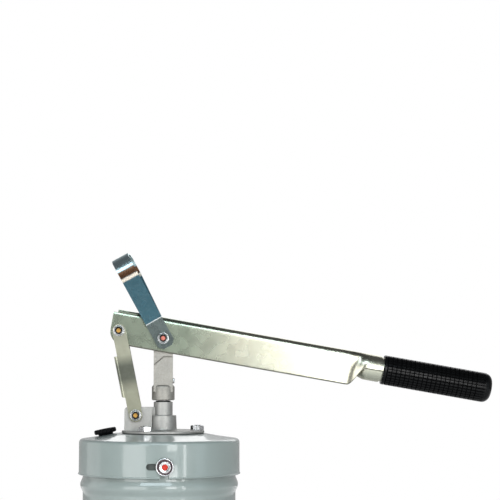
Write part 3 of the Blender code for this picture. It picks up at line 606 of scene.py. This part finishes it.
def build_pump_head():
    low, high = corners("pump_head")
    flange_r = (high.x - low.x) / 2
    bottom, top = corners("head_gasket")[1].z + 0.1, corners("head_bolt_1")[1].z - BOLT_HEAD - GAP
    collar_top, neck_top = 378.8, corners("rod_wiper")[1].z - 1.2
    profile = [(17.3, 340), (19.8, 340), (19.8, bottom), (flange_r, bottom), (flange_r, top),
               (COLLAR_R + 1.6, top), (COLLAR_R + 0.2, top + 1.6), (COLLAR_R - 0.4, collar_top),
               (NECK_R + 0.4, collar_top), (NECK_R, collar_top + 0.5), (NECK_R, neck_top), (8.6, neck_top),
               (8.6, 382.0), (6.3, 382.0), (6.3, 377.0), (11.0, 375.0), (11.0, 357.3), (17.3, 357.3)]
    head = make("pump_head_casting", lathe(soften(profile, 0.8), 144))
    ear_half, ear_top, ear_left, ear_right, ear_corner = 10.5, 387.9, -42.9, -12.2, 3.5
    ear = [(ear_right, top - 1.5), (ear_right, ear_top),
           *arc((ear_left + ear_corner, ear_top - ear_corner), ear_corner, 90, 178, 8), (ear_left, top - 1.5)]
    combine(head, make("ear", prism(ear, -ear_half, ear_half)), "UNION")
    combine(head, make("rib", box((-14, -5.5, collar_top - 4), (-8, 5.5, ear_top - 0.1))), "UNION")
    outlet_z = middle_of("outlet_fitting").z
    boss_end = high.y
    boss = [(0, 12.2), (8.3, 12.2), (8.3, boss_end - 0.6), (7.7, boss_end), (0, boss_end)]
    combine(head, make("boss", lathe(boss, 64), (0, 0, outlet_z), TO_REAR), "UNION")
    hole(head, 5.3, 5, 60, location=(0, 0, outlet_z), rotation=TO_REAR)
    hole(head, PIN_HOLE_R, -20, 20, location=(PIN_A.x - PUMP_X, 0, PIN_A.z), rotation=FACING)
    drill_bolt_holes(head, 375, PUMP_X)
    settle(head, (PUMP_X, 0, 0))
    dress(head, [CAST], "lid", ["pump_head"], bevel=0.5)


def hexagon(across_flats):
    """Distance from a hexagon's middle to its edge, as a function of the direction."""
    def radius(angle):
        off_flat = (angle + TURN / 12) % (TURN / 6) - TURN / 12
        return across_flats / 2 / cos(off_flat)
    return radius


def hexagon_shape(across_flats, low, high, chamfer_low=False):
    """A lathe shape: between low and high the piece is hexagonal, with turned-off corners."""
    flat = across_flats / 2
    outline = hexagon(across_flats)

    def shape(r, z, angle):
        if not low - 0.01 <= z <= high + 0.01 or r < flat * 0.9:
            return r
        full = outline(angle)
        limit = flat * 1.155 - 1.7 * max(0, z - (high - flat * 0.14))
        if chamfer_low:
            limit = min(limit, flat * 1.155 - 1.7 * max(0, (low + flat * 0.14) - z))
        return min(full, limit) if r >= flat else min(r, full)
    return shape


def build_head_bolts():
    across, height, shank_r = 13.0, BOLT_HEAD, 3.95
    flat = across / 2
    shares = (0.0, 0.15, 0.75, 0.80, 0.84, 0.88, 0.92, 0.96, 1.0)
    for number, node in enumerate(HEAD_BOLTS, 1):
        low, high = corners(node)
        seat = high.z - height
        end = low.z - seat
        middle = middle_of(node)
        sides = [(flat + 1, height * share) for share in shares]
        profile = [(0, end), (3.4, end), (shank_r, end + 0.8), (shank_r, 0.0), *sides,
                   (flat * 0.86, height), (flat * 0.80, height - 0.25), (0, height - 0.3)]
        bolt = make(f"{node}_hexagon", lathe(profile, 72, hexagon_shape(across, 0, height)),
                    (middle.x, middle.y, seat), (0, 0, radians(8 + 14 * number)))
        dress(bolt, [BRIGHT], "lid", [node])


def build_outlet():
    """Hose nipple at the rear: hexagon, undercut and a thread cut as a row of rings."""
    start, end = 47.0 + GAP, corners("outlet_fitting")[1].y
    across, height, pitch = 19.0, 6.0, 1.34
    hexagon_end = start + height
    bore_r, undercut_r, root_r, crest_r = 4.0, 7.4, 7.65, 8.3
    sides = [(across / 2 + 1, start + height * share) for share in (0, 0.04, 0.1, 0.5, 0.9, 0.96, 1.0)]
    thread = []
    z = hexagon_end + 2.4
    while z + pitch < end - 0.6:
        thread += [(root_r, z), (crest_r, z + pitch * 0.4), (crest_r, z + pitch * 0.55),
                   (root_r, z + pitch * 0.95)]
        z += pitch
    profile = [(bore_r, start - 14), (5.0, start - 14), (5.0, start), *sides, (undercut_r, hexagon_end),
               (undercut_r, hexagon_end + 2.0), *thread, (undercut_r, end), (bore_r + 0.3, end),
               (bore_r, end - 0.3)]
    shape = hexagon_shape(across, start, hexagon_end, chamfer_low=True)
    place = (PUMP_X, 0, middle_of("outlet_fitting").z)
    fitting = make("outlet_nipple", lathe(profile, 72, shape), place, TO_REAR)
    dress(fitting, [BRASS], "lid", ["outlet_fitting"])


def build_rod_head():
    """Round foot, a block with a slanting shoulder and a thinner tongue that goes into the lever."""
    low, high = corners("rod_head")
    foot_r, foot_top, rounding = (high.y - low.y) / 2, 412.7, 3.4
    half_x, half_y, tongue = 10.65, 9.5, 7.5
    profile = [(0, low.z), (foot_r - 0.9, low.z), (foot_r, low.z + 0.9),
               *arc((foot_r - rounding, foot_top - rounding), rounding, 0, 90, 8), (0, foot_top)]
    head = make("rod_head_casting", lathe(profile, 96))
    block = [(-half_x, 405), (half_x, 405), (half_x, 443.1), (0.6, 443.1), (-half_x, 433.6)]
    combine(head, make("block", prism(block, -half_y, half_y)), "UNION")
    crown = [(-half_x, 430), (half_x, 430), *arc((0, PIN_C.z), half_x, 0, 180, 28)]
    combine(head, make("tongue", prism(crown, -tongue, tongue)), "UNION")
    root = [(-half_x - 1, 432.4), (0.6, 442.9), (half_x + 1, 442.9), (half_x + 1, 444.7), (0.1, 444.7),
            (-half_x - 1, 434.5)]
    root_depth = 2.6  # the groove along the shoulder that reads as a dark line
    for side in (-1, 1):
        near, far = sorted((side * (tongue - root_depth), side * (tongue + 0.01)))
        combine(head, make("cutter", prism(root, near, far)))
    hole(head, ROD_R + GAP, 380, 425.3)
    pin_room = 6.4  # radius of the tongue's hole, in which the rod pin moves a little
    hole(head, pin_room, -20, 20, location=(0, 0, PIN_C.z), rotation=FACING)
    hole(head, 3.3, 3, 20, location=(0, 0, SCREW_HOLE_Z), rotation=(0, QUARTER, 0))
    settle(head, (PUMP_X, 0, 0))
    dress(head, [ROD_CAST], "rod", ["rod_head"], bevel=0.5)


def build_rod():
    low, high = corners("piston_rod")
    profile = soften([(0, low.z), (ROD_R, low.z), (ROD_R, high.z), (0, high.z)], 0.8, closed=False)
    rod = make("piston_rod_bar", lathe(profile, 64), (PUMP_X, 0, 0))
    dress(rod, [STEEL], "rod", ["piston_rod"])


def build_set_screw():
    end = corners("rod_head_set_screw")[1].x - PUMP_X
    profile = [(0, ROD_R + GAP), (2.6, ROD_R + GAP), (3.0, ROD_R + 1.0), (3.0, end - 0.4), (2.6, end),
               (1.5, end), (1.3, end - 1.8), (0, end - 1.8)]
    screw = make("set_screw_body", lathe(profile, 36), (PUMP_X, 0, SCREW_HOLE_Z), (0, QUARTER, 0))
    dress(screw, [BRIGHT], "rod", ["rod_head_set_screw"])


def build_wiper():
    low, high = corners("rod_wiper")
    profile = soften([(8.3, low.z), (8.3, high.z), (7.4, high.z), (6.6, high.z - 1.0), (6.2, high.z - 0.2),
                      (6.2, low.z)], 0.25)
    wiper = make("rod_wiper_ring", lathe(profile, 64), (PUMP_X, 0, 0))
    dress(wiper, [RUBBER], "lid", ["rod_wiper"])


TUBE_R = 17.0


def build_tube():
    low, high = corners("pump_tube")
    inner_r = TUBE_R - 2.0
    profile = soften([(TUBE_R, low.z), (TUBE_R, high.z), (inner_r, high.z), (inner_r, low.z)], 0.4)
    tube = make("pump_barrel", lathe(profile, 96), (PUMP_X, 0, 0))
    dress(tube, [STEEL], "lid", ["pump_tube"])


def build_foot_valve():
    top, pin_z = corners("foot_valve_body")[1].z, middle_of("foot_valve_pin").z
    profile = soften([(5.0, 17.0), (TUBE_R, 17.0), (TUBE_R, 19.7), (14.7, 19.7), (14.7, top), (8.6, top),
                      (8.6, 28.6), (5.0, 25.0)], 0.3)
    valve = make("foot_valve_seat", lathe(profile, 96), (PUMP_X, 0, 0))
    hole(valve, 1.9, -20, 20, location=(PUMP_X, 0, pin_z), rotation=FACING)
    dress(valve, [BRASS], "lid", ["foot_valve_body"])


def build_strainer():
    slots = 8
    cup = soften([(0, 6.0), (16.0, 6.0), (TUBE_R, 7.0), (TUBE_R, 16.7), (15.5, 16.7), (15.5, 7.5), (0, 7.5)],
                 0.3, closed=False)
    strainer = make("strainer_cup", lathe(cup, 96))
    for number in range(slots):
        angle = TURN * (number + 0.5) / slots
        combine(strainer, make("cutter", box((8, -1.5, 9.0), (30, 1.5, 14.5)), rotation=(0, 0, angle)))
    settle(strainer, (PUMP_X, 0, 0))
    dress(strainer, [STEEL], "lid", ["suction_strainer"])


# ---------------- link, fasteners

LINK_HALF = 13.5
LINK_SHEET = 2.5
LINK_WIDTH = 15.0


def link_web(half):
    """Web on the left that joins the two plates, bent round at both corners and cut at a slant."""
    low, high, out, bend = 20.0, 68.0, half + 3.6, 3.4
    join_x, slant = -5.0, 2.5
    section = []
    for inset, flip in ((0.0, 1), (LINK_SHEET, -1)):
        x, y, r = inset - out, LINK_HALF - inset, bend - inset
        corners_round = [*arc((x + r, r - y), r, 270, 180, 10), *arc((x + r, y - r), r, 180, 90, 10)]
        section += [(join_x, -y), *corners_round, (join_x, y)][::flip]
    bm = bmesh.new()
    rings = []
    for z, lift in ((low, slant), (high, 0.0)):
        rings.append([bm.verts.new((x, y, z - lift * (x - join_x) / (out - 5))) for x, y in section])
    skin(bm, rings)
    return bm


def build_link():
    span = (PIN_B - PIN_A).length
    lean = atan2(PIN_B.x - PIN_A.x, PIN_B.z - PIN_A.z)
    half = LINK_WIDTH / 2
    capsule = [*arc((0, 0), half, 180, 360, 28), *arc((0, span), half, 0, 180, 28)]
    arm = make("link_plates", prism(capsule, -LINK_HALF, LINK_HALF))
    inner = LINK_HALF - LINK_SHEET
    combine(arm, make("gap", box((-30, -inner, -30), (30, inner, span + 30))))
    combine(arm, make("web", link_web(half)), "UNION")
    for z in (0, span):
        hole(arm, PIN_HOLE_R, -20, 20, location=(0, 0, z), rotation=FACING)
    settle(arm, PIN_A, (0, lean, 0))
    dress(arm, [LINK_ZINC_WITH_PAINTED_SHADE], "link", ["link_arm"], bevel=0.6)


NUT_ACROSS = 10.0
NUT_FLAT = NUT_ACROSS / 2
BOLT_R = 3.0
WASHER = 1.2


def build_bolt(name, inside, body, place, end_look):
    """Hexagon head at the rear; the thread ends at the front in a ring of painted shade and a coloured face.
    """
    length = 2 * inside + 7.0
    thread_start, pitch, cut = length - 9.0, 1.0, 0.45
    thread = []
    z = thread_start
    while z < length - 1.2:
        thread += [(BOLT_R - cut, z), (BOLT_R, z + cut), (BOLT_R, z + 0.6), (BOLT_R - cut, z + pitch)]
        z += pitch
    head = [(NUT_FLAT + 1, -4.0 * share) for share in (1.0, 0.96, 0.92, 0.88, 0.84, 0.7, 0.3, 0.0)]
    end_r = 2.45
    profile = [(0, -3.9), (NUT_FLAT * 0.8, -3.9), (NUT_FLAT * 0.86, -4.0), *head, (BOLT_R, 0.0),
               (BOLT_R, thread_start - 0.3), *thread, (BOLT_R, length - 0.7), (end_r, length - 0.1),
               (end_r - 0.15, length), (0, length)]
    outline = hexagon(NUT_ACROSS)

    def head_shape(r, z, angle):
        if z > 0.01 or r < NUT_FLAT:
            return r
        return min(outline(angle), NUT_FLAT * 1.155 - 1.7 * max(0, -3.4 - z))

    # painted shade: the thread's last turns are toned dark round the coloured end face
    def end_face_and_shade_tone(r, z):
        if r < end_r and z > length - 0.2:
            return 1
        return 2 if z > length - 1.4 else 0

    turned = lathe(profile, 72, head_shape, end_face_and_shade_tone)
    bolt = make(f"{name}_bolt_body", turned, (place.x, inside, place.z), FACING)
    dress(bolt, [BRIGHT, end_look, NYLON_AND_SHADE], body, [f"{name}_bolt"])


def build_nut(name, inside, body, place):
    """Lock nut: a hexagon with a round collar that holds a dark ring."""
    height, collar = 6.0, 1.6
    top = height - collar
    sides = [(NUT_FLAT + 1, top * share) for share in (0.0, 0.06, 0.12, 0.5, 0.84, 0.9, 0.95, 1.0)]
    profile = [(PIN_HOLE_R, 0), *sides, (NUT_FLAT * 0.93, top), (NUT_FLAT * 0.92, height - 0.5),
               (NUT_FLAT * 0.88, height - 0.1), (NUT_FLAT * 0.84, height), (4.05, height - 0.1),
               (3.95, height - 0.35), (3.7, height - 0.7), (PIN_HOLE_R, height - 0.8)]

    def ring_tone(r, z):
        return 1 if r < 4.03 and z > height - 1.4 else 0

    turned = lathe(profile, 72, hexagon_shape(NUT_ACROSS, 0, top, True), ring_tone)
    nut = make(f"{name}_nut_body", turned, (place.x, -inside, place.z), FACING)
    dress(nut, [BRIGHT, NYLON_AND_SHADE], body, [f"{name}_nut"])


def build_fastener(name, half, body, place, end_look):
    """Bolt from the rear, lock nut at the front, and a washer against each side of what they hold."""
    seat = half + GAP
    inside = seat + WASHER + GAP
    build_bolt(name, inside, body, place, end_look)
    build_nut(name, inside, body, place)
    for side, low in (("front", seat), ("rear", -seat - WASHER)):
        high = low + WASHER
        profile = soften([(6.2, low), (6.2, high), (PIN_HOLE_R, high), (PIN_HOLE_R, low)], 0.3)
        ring = make(f"{name}_washer_{side}_disc", lathe(profile, 64), (place.x, 0, place.z), FACING)
        dress(ring, [BRIGHT], body, [f"{name}_washer_{side}"])


# ---------------- lever, grip and strap

LEVER_HALF = 10.3
LEVER_SHEET = 2.5
LEVER_TOP = 23.4
LEVER_BOTTOM = -15.0
LEVER_END = -9.6
LEVER_BEND = 7.0
EDGE_STEPS = 4  # faces round the flank's lower edge
NECK_START = 259.0
NECK_END = 281.0
NECK_TUBE_R = 14.8
NECK_LIFT = 3.0  # how far the flanks' lower edges rise as they roll
GRIP_START = 298.0
GRIP_LENGTH = 124.0
GRIP_R = 16.5
GRIP_BORE = 13.6
GRIP_CORNER = 9.0  # radius of the grip's rounded end
SEAM_FRONT = radians(189)  # where the front flank's edge lies on the rolled tube
SEAM_TUCK = 1.9  # how far the rear flank's edge is tucked under it
SEAM_OVERLAP = radians(8)


def flank_path(inset, bottom):
    """Half of an inverted U section, from the middle of the web to the flank's lower edge."""
    half, top, bend = LEVER_HALF - inset, LEVER_TOP - inset, LEVER_BEND - inset
    shoulder = top - bend
    web = [((half - bend) * share, top) for share in (0.0, 0.5)]
    corner = arc((half - bend, shoulder), bend, 90, 0, 8)
    curl = 1.4  # radius of the turned-in lower edge
    flank = [(half, shoulder + (bottom + curl - shoulder) * i / 10) for i in range(1, 11)]
    edge = [(half - curl * 0.55 * (1 - cos(a)), bottom + curl - curl * sin(a)) for a in
            (QUARTER * i / EDGE_STEPS for i in range(1, EDGE_STEPS + 1))]
    return web + corner + flank + edge


def tube_path(inset, radius, shares, front):
    """The same half section rolled round; the rear half passes under and is tucked in."""
    centre = LEVER_TOP - NECK_TUBE_R
    sweep = SEAM_FRONT - QUARTER if front else TURN - SEAM_FRONT + QUARTER + SEAM_OVERLAP
    points = []
    for share in shares:
        turn = sweep * share
        tuck = 0 if front else SEAM_TUCK * min(max((share - 0.72) / 0.2, 0), 1)
        reach = radius - inset - tuck
        points.append((reach * sin(turn), centre + reach * cos(turn)))
    return points


def half_section(inset, bottom, rolled, radius, front):
    """Half section between the flat-sided channel (rolled = 0) and the tube (rolled = 1)."""
    path = flank_path(inset, bottom)
    lengths = [0.0]
    for a, b in zip(path, path[1:]):
        lengths.append(lengths[-1] + dist(a, b))
    round_points = tube_path(inset, radius, [length / lengths[-1] for length in lengths], front)
    return [((1 - rolled) * p[0] + rolled * q[0], (1 - rolled) * p[1] + rolled * q[1])
            for p, q in zip(path, round_points)]


def lever_section(bottom, rolled, radius):
    """Closed outline (y, v) of the sheet: outer side from front edge to rear edge, then back inside."""
    sides = []
    for inset in (0.0, LEVER_SHEET):
        front = [(-y, v) for y, v in half_section(inset, bottom, rolled, radius, True)]
        rear = half_section(inset, bottom, rolled, radius, False)
        sides.append(front[::-1] + rear[1:])
    return sides[0] + sides[1][::-1]


def lever_stations():
    """Stations (u, lower edge, how far rolled, tube radius) along the lever."""
    end_r = 15.0
    stations = []
    end_steps, roll_steps = 12, 18
    for i in range(end_steps + 1):
        u = LEVER_END + end_r * (1 - cos(QUARTER * i / end_steps))
        rise = sqrt(max(end_r ** 2 - (u - LEVER_END - end_r) ** 2, 0))
        stations.append((u, LEVER_BOTTOM + end_r - rise, 0.0, NECK_TUBE_R))
    for u in (30.0, 80.0, 130.0, 180.0, 225.0, NECK_START - 4):
        stations.append((u, LEVER_BOTTOM, 0.0, NECK_TUBE_R))
    for i in range(roll_steps + 1):
        share = i / roll_steps
        rolled = share ** 3 * (10 - 15 * share + 6 * share * share)
        u = NECK_START + (NECK_END - NECK_START) * share
        stations.append((u, LEVER_BOTTOM + NECK_LIFT * rolled, rolled, NECK_TUBE_R))
    low, thin = LEVER_BOTTOM + NECK_LIFT, GRIP_BORE - GAP
    return stations + [(GRIP_START - 3.0, low, 1.0, NECK_TUBE_R), (GRIP_START - 1.0, low, 1.0, thin),
                       (GRIP_START + GRIP_LENGTH - 14, low, 1.0, thin)]


def build_lever():
    """One sheet, with its cut and curled edges in a darker tone, partly raw edge and partly painted shade,
    and the slits beside the end's tongue.
    """
    bm = bmesh.new()
    rings = [[bm.verts.new((u, y, v)) for y, v in lever_section(bottom, rolled, radius)]
             for u, bottom, rolled, radius in lever_stations()]
    skin(bm, rings)
    bm.faces.ensure_lookup_table()
    around = len(rings[0])
    outer = around // 2
    # partly raw cut edge, partly painted shade: the turned-in lower edges and the sheet's ends get the dark
    # tone, which draws the seam line on the neck
    cut = [*range(EDGE_STEPS), *range(outer - 1 - EDGE_STEPS, outer), around - 1]
    for band in range(len(rings) - 1):
        for i in cut:
            bm.faces[band * around + i].material_index = 1
    arm = make("lever_channel", bm)
    slit_end, slit_low, tongue_half, tongue_end = 17.0, 19.8, 7.6, -4.7
    for low, high in (((-20, -12, slit_low), (slit_end, -tongue_half, 30)),
                      ((-20, tongue_half, slit_low), (slit_end, 12, 30)),
                      ((-20, -12, slit_low + 0.01), (tongue_end, 12, 30))):
        combine(arm, make("cutter", box(low, high)))
    rod_pin = hypot(PIN_C.x - PIN_B.x, PIN_C.z - PIN_B.z)
    for u in (0.0, rod_pin):
        hole(arm, PIN_HOLE_R, -20, 20, location=(u, 0, 0), rotation=FACING)
    settle(arm, PIN_B, (0, LEVER_TILT, 0))
    dress(arm, [LEVER_ZINC_WITH_PAINTED_LIGHT, CUT_EDGE_AND_SHADE], "lever", ["lever"], bevel=0.3)


def grip_profile():
    """Profile of the hand grip: plain collar, rings of blocks, rounded end, then the bore."""
    corner, pitch, groove, depth = GRIP_CORNER, 5.05, 1.1, 0.55
    points = [(GRIP_BORE, 0.6), (GRIP_BORE + 0.5, 0), (GRIP_R - 0.7, 0), (GRIP_R, 0.9), (GRIP_R, 3.4)]
    z = 3.6
    while z + pitch < GRIP_LENGTH - corner - 0.5:
        points += [(GRIP_R - depth, z + 0.25), (GRIP_R - depth, z + groove - 0.25), (GRIP_R, z + groove),
                   (GRIP_R + 0.01, z + 0.5 * (groove + pitch)), (GRIP_R, z + pitch)]
        z += pitch
    points += arc((GRIP_R - corner, GRIP_LENGTH - corner), corner, 0, 88, 16)
    bore_end = GRIP_LENGTH - 10
    return points + [(0, GRIP_LENGTH), (0, bore_end), (GRIP_BORE, bore_end)]


def build_grip():
    """Rubber sleeve; lengthwise grooves part its rings into blocks, and all grooves are duller and darker:
    painted shade.
    """
    rows, groove_share, groove_depth = 30, 0.2, 0.5
    ribbed_end = GRIP_LENGTH - GRIP_CORNER - 0.5

    def blocks(r, z, angle):
        if r < GRIP_R - 0.02 or not 4 < z < ribbed_end:
            return r
        share = (angle / TURN * rows) % 1.0
        return r - (groove_depth if share < groove_share or share > 1 - 0.02 else 0.0)

    bm = lathe(grip_profile(), rows * 10, blocks)
    # painted shade: the groove faces get a darker, duller rubber
    for face in bm.faces:
        innermost = min(vert.co.xy.length for vert in face.verts)
        if GRIP_R - 1 < innermost < GRIP_R - 0.3 and 3.6 < face.calc_center_median().z < ribbed_end:
            face.material_index = 1
    tilt = Matrix.Rotation(LEVER_TILT, 3, "Y")
    place = PIN_B + tilt @ Vector((GRIP_START + GAP, 0, LEVER_TOP - NECK_TUBE_R))
    grip = make("grip_sleeve", bm, place, (0, QUARTER + LEVER_TILT, 0))
    dress(grip, [GRIP, GRIP_GROOVE_SHADE], "lever", ["grip"])


def build_strap():
    """Carrying strap bent from one sheet: two legs, a crease in each and a wide round bow."""
    half_width, sheet, inner = 10.0, 2.0, 11.2  # inner is half the gap between the legs
    low, crease, top, radius = -11.0, 21.9, 103.6, 22.4
    twist = 2.8  # how far the rear leg leans over
    outline = []
    for inset, flip in ((0.0, 1), (sheet, -1)):
        half = inner + sheet - inset
        crown = arc((0, top - radius), radius - inset, -9, 189, 56)
        bend = [(half, crease - 0.9), (half + 0.06, crease), (half + 0.22, crease + 0.9)]
        side = [(half, low), *bend, *crown, *[(-y, v) for y, v in bend[::-1]], (-half, low)]
        outline += side[::flip]
    bm = prism(outline, -half_width, half_width, Matrix.Rotation(QUARTER, 4, "Z"))
    for vertex in bm.verts:
        to_rear = 0.5 + 0.5 * vertex.co.y / (radius * 0.6)
        height = min(max(vertex.co.z - crease, 0) / (top - radius - crease), 1)
        vertex.co.x += twist * min(max(to_rear, 0), 1) * sin(QUARTER * height)
    loop = make("strap_loop", bm)
    corner = 4.8  # cut off each foot's corners
    for sign in (-1, 1):
        wedge = [(sign * (half_width + 1), low - 1), (sign * (half_width + 1), low + corner + 1),
                 (sign * (half_width - corner - 1), low - 1)]
        combine(loop, make("cutter", prism(wedge, -20, 20)))
    hole(loop, PIN_HOLE_R, -20, 20, rotation=FACING)
    settle(loop, PIN_C, (0, -STRAP_LEAN, 0))
    dress(loop, [STRAP_ZINC_WITH_PAINTED_LIGHT], "strap", ["carry_strap"], bevel=0.3, sharp=12)


def dress_cad_nodes():
    """The pieces that stay as they are in the frame get their materials."""
    looks = {"lid_gasket": RUBBER, "head_gasket": RUBBER, "gland_packing": RUBBER, "piston_seal": RUBBER,
             "piston": BRASS, "piston_ball": BALL_STEEL, "foot_valve_ball": BALL_STEEL,
             "foot_valve_pin": STEEL}
    for number in (1, 2, 3):
        looks[f"weld_nut_{number}"] = BRIGHT
        looks[f"head_nut_{number}"] = BRIGHT
    for node, look in looks.items():
        mesh = frame["nodes"][node].data
        mesh.materials.clear()
        mesh.materials.append(look)


# ---------------- studio

def softbox(name, azimuth, elevation, distance, width, height, power, color):
    """Rectangular light aimed at the lid; azimuth 0 is the camera's side, positive to the right."""
    data = bpy.data.lights.new(name, "AREA")
    data.shape = "RECTANGLE"
    data.size, data.size_y = width * MM, height * MM
    data.energy = power
    data.color = color
    light = bpy.data.objects.new(name, data)
    a, e = radians(azimuth), radians(elevation)
    away = Vector((sin(a) * cos(e), -cos(a) * cos(e), sin(e)))
    light.location = (Vector((0, 0, RIM_Z)) + away * distance) * MM
    light.rotation_euler = away.to_track_quat("Z", "Y").to_euler()
    light.visible_camera = False
    bpy.context.scene.collection.objects.link(light)


FRONT_LIGHT, REAR_LIGHT = 0.20, 0.52  # strength of the room before and behind the object
WHITE, COOL, SKY = (1, 1, 1), (0.75, 0.90, 1.0), (0.78, 0.92, 1.0)
LIGHTS = (  # name, azimuth, elevation, distance, width, height, power, color
    ("left_box", -34, 8, 1500, 900, 1000, 9.0, WHITE),
    ("left_fill", -105, 10, 1500, 900, 1000, 2.2, WHITE),
    ("front_box", 18.5, 12, 1580, 400, 820, 7.4, WHITE),
    ("right_strip", 36, 6, 1500, 110, 1200, 3.0, WHITE),
    ("right_fill", 60, 8, 1500, 420, 1100, 1.2, COOL),
    ("high_box", -5, 42, 1500, 1100, 350, 8.2, SKY),
    ("rear_box", 165, 30, 1700, 1400, 900, 6, WHITE),
)


def build_world():
    """White backdrop for the camera, a softer grey room for light and reflections."""
    world = bpy.data.worlds.new("studio")
    bpy.context.scene.world = world
    world.use_nodes = True
    world.node_tree.nodes.clear()
    add = Tree(world.node_tree).add
    place = add("ShaderNodeTexCoord").outputs["Generated"]
    direction = add("ShaderNodeSeparateXYZ", {"Vector": place}).outputs
    depth = {"Value": direction["Y"], "From Min": -1, "To Min": FRONT_LIGHT, "To Max": REAR_LIGHT}
    strength = add("ShaderNodeMapRange", depth).outputs["Result"]
    height = add("ShaderNodeMapRange", {"Value": direction["Z"], "From Min": -1}).outputs["Result"]
    shades = add("ShaderNodeValToRGB", {"Fac": height})
    steps = shades.color_ramp.elements
    for position, grey in ((0.42, 0.45), (0.5, 1.0), (0.62, 0.9)):
        steps.new(position).color = (grey, grey, grey, 1)
    steps[0].color = (0.35, 0.35, 0.35, 1)
    steps[-1].position = 0.9
    steps[-1].color = (0.22, 0.22, 0.23, 1)
    room = add("ShaderNodeBackground", {"Color": shades.outputs["Color"], "Strength": strength})
    backdrop = add("ShaderNodeBackground", {"Color": (1, 1, 1, 1), "Strength": 1.0})
    seen = add("ShaderNodeLightPath").outputs["Is Camera Ray"]
    both = add("ShaderNodeMixShader", {0: seen, 1: room.outputs[0], 2: backdrop.outputs[0]})
    add("ShaderNodeOutputWorld", {"Surface": both.outputs["Shader"]})


def build_studio():
    build_world()
    for light in LIGHTS:
        softbox(*light)
    floor_r, floor_low, floor_top = 2400, -12.0, -0.1
    disc = lathe([(0, floor_low), (floor_r, floor_low), (floor_r, floor_top), (0, floor_top)], 128)
    floor = make("studio_floor", disc)
    floor.data.materials.append(floor_look())


def build_camera():
    """Long lens a little above the lid, looking slightly up and to the right."""
    data = bpy.data.cameras.new("camera")
    data.sensor_width = 36.0
    data.lens = 117.9
    right, back, up = 28, 1840, 84.2  # from the pump's axis at the container's rim
    camera = bpy.data.objects.new("camera", data)
    camera.location = Vector((PUMP_X + right, -back, RIM_Z + up)) * MM
    yaw, pitch = radians(2.15), radians(4.04)
    camera.rotation_euler = (QUARTER + pitch, 0, -yaw)
    bpy.context.scene.collection.objects.link(camera)
    bpy.context.scene.camera = camera


build_camera()
build_container()
build_lid()
build_plug()
build_clamp_screws()
build_pump_head()
build_head_bolts()
build_outlet()
build_rod_head()
build_rod()
build_set_screw()
build_wiper()
build_tube()
build_foot_valve()
build_strainer()
build_link()
build_fastener("lower_link", LINK_HALF, "link", PIN_A, GOLD_END)
build_fastener("upper_link", LINK_HALF, "lever", PIN_B, GOLD_END)
build_fastener("rod_pin", 13.2, "lever", PIN_C, ROSE_END)
build_lever()
build_grip()
build_strap()
dress_cad_nodes()
build_studio()

bpy.context.scene.view_settings.view_transform = "Standard"
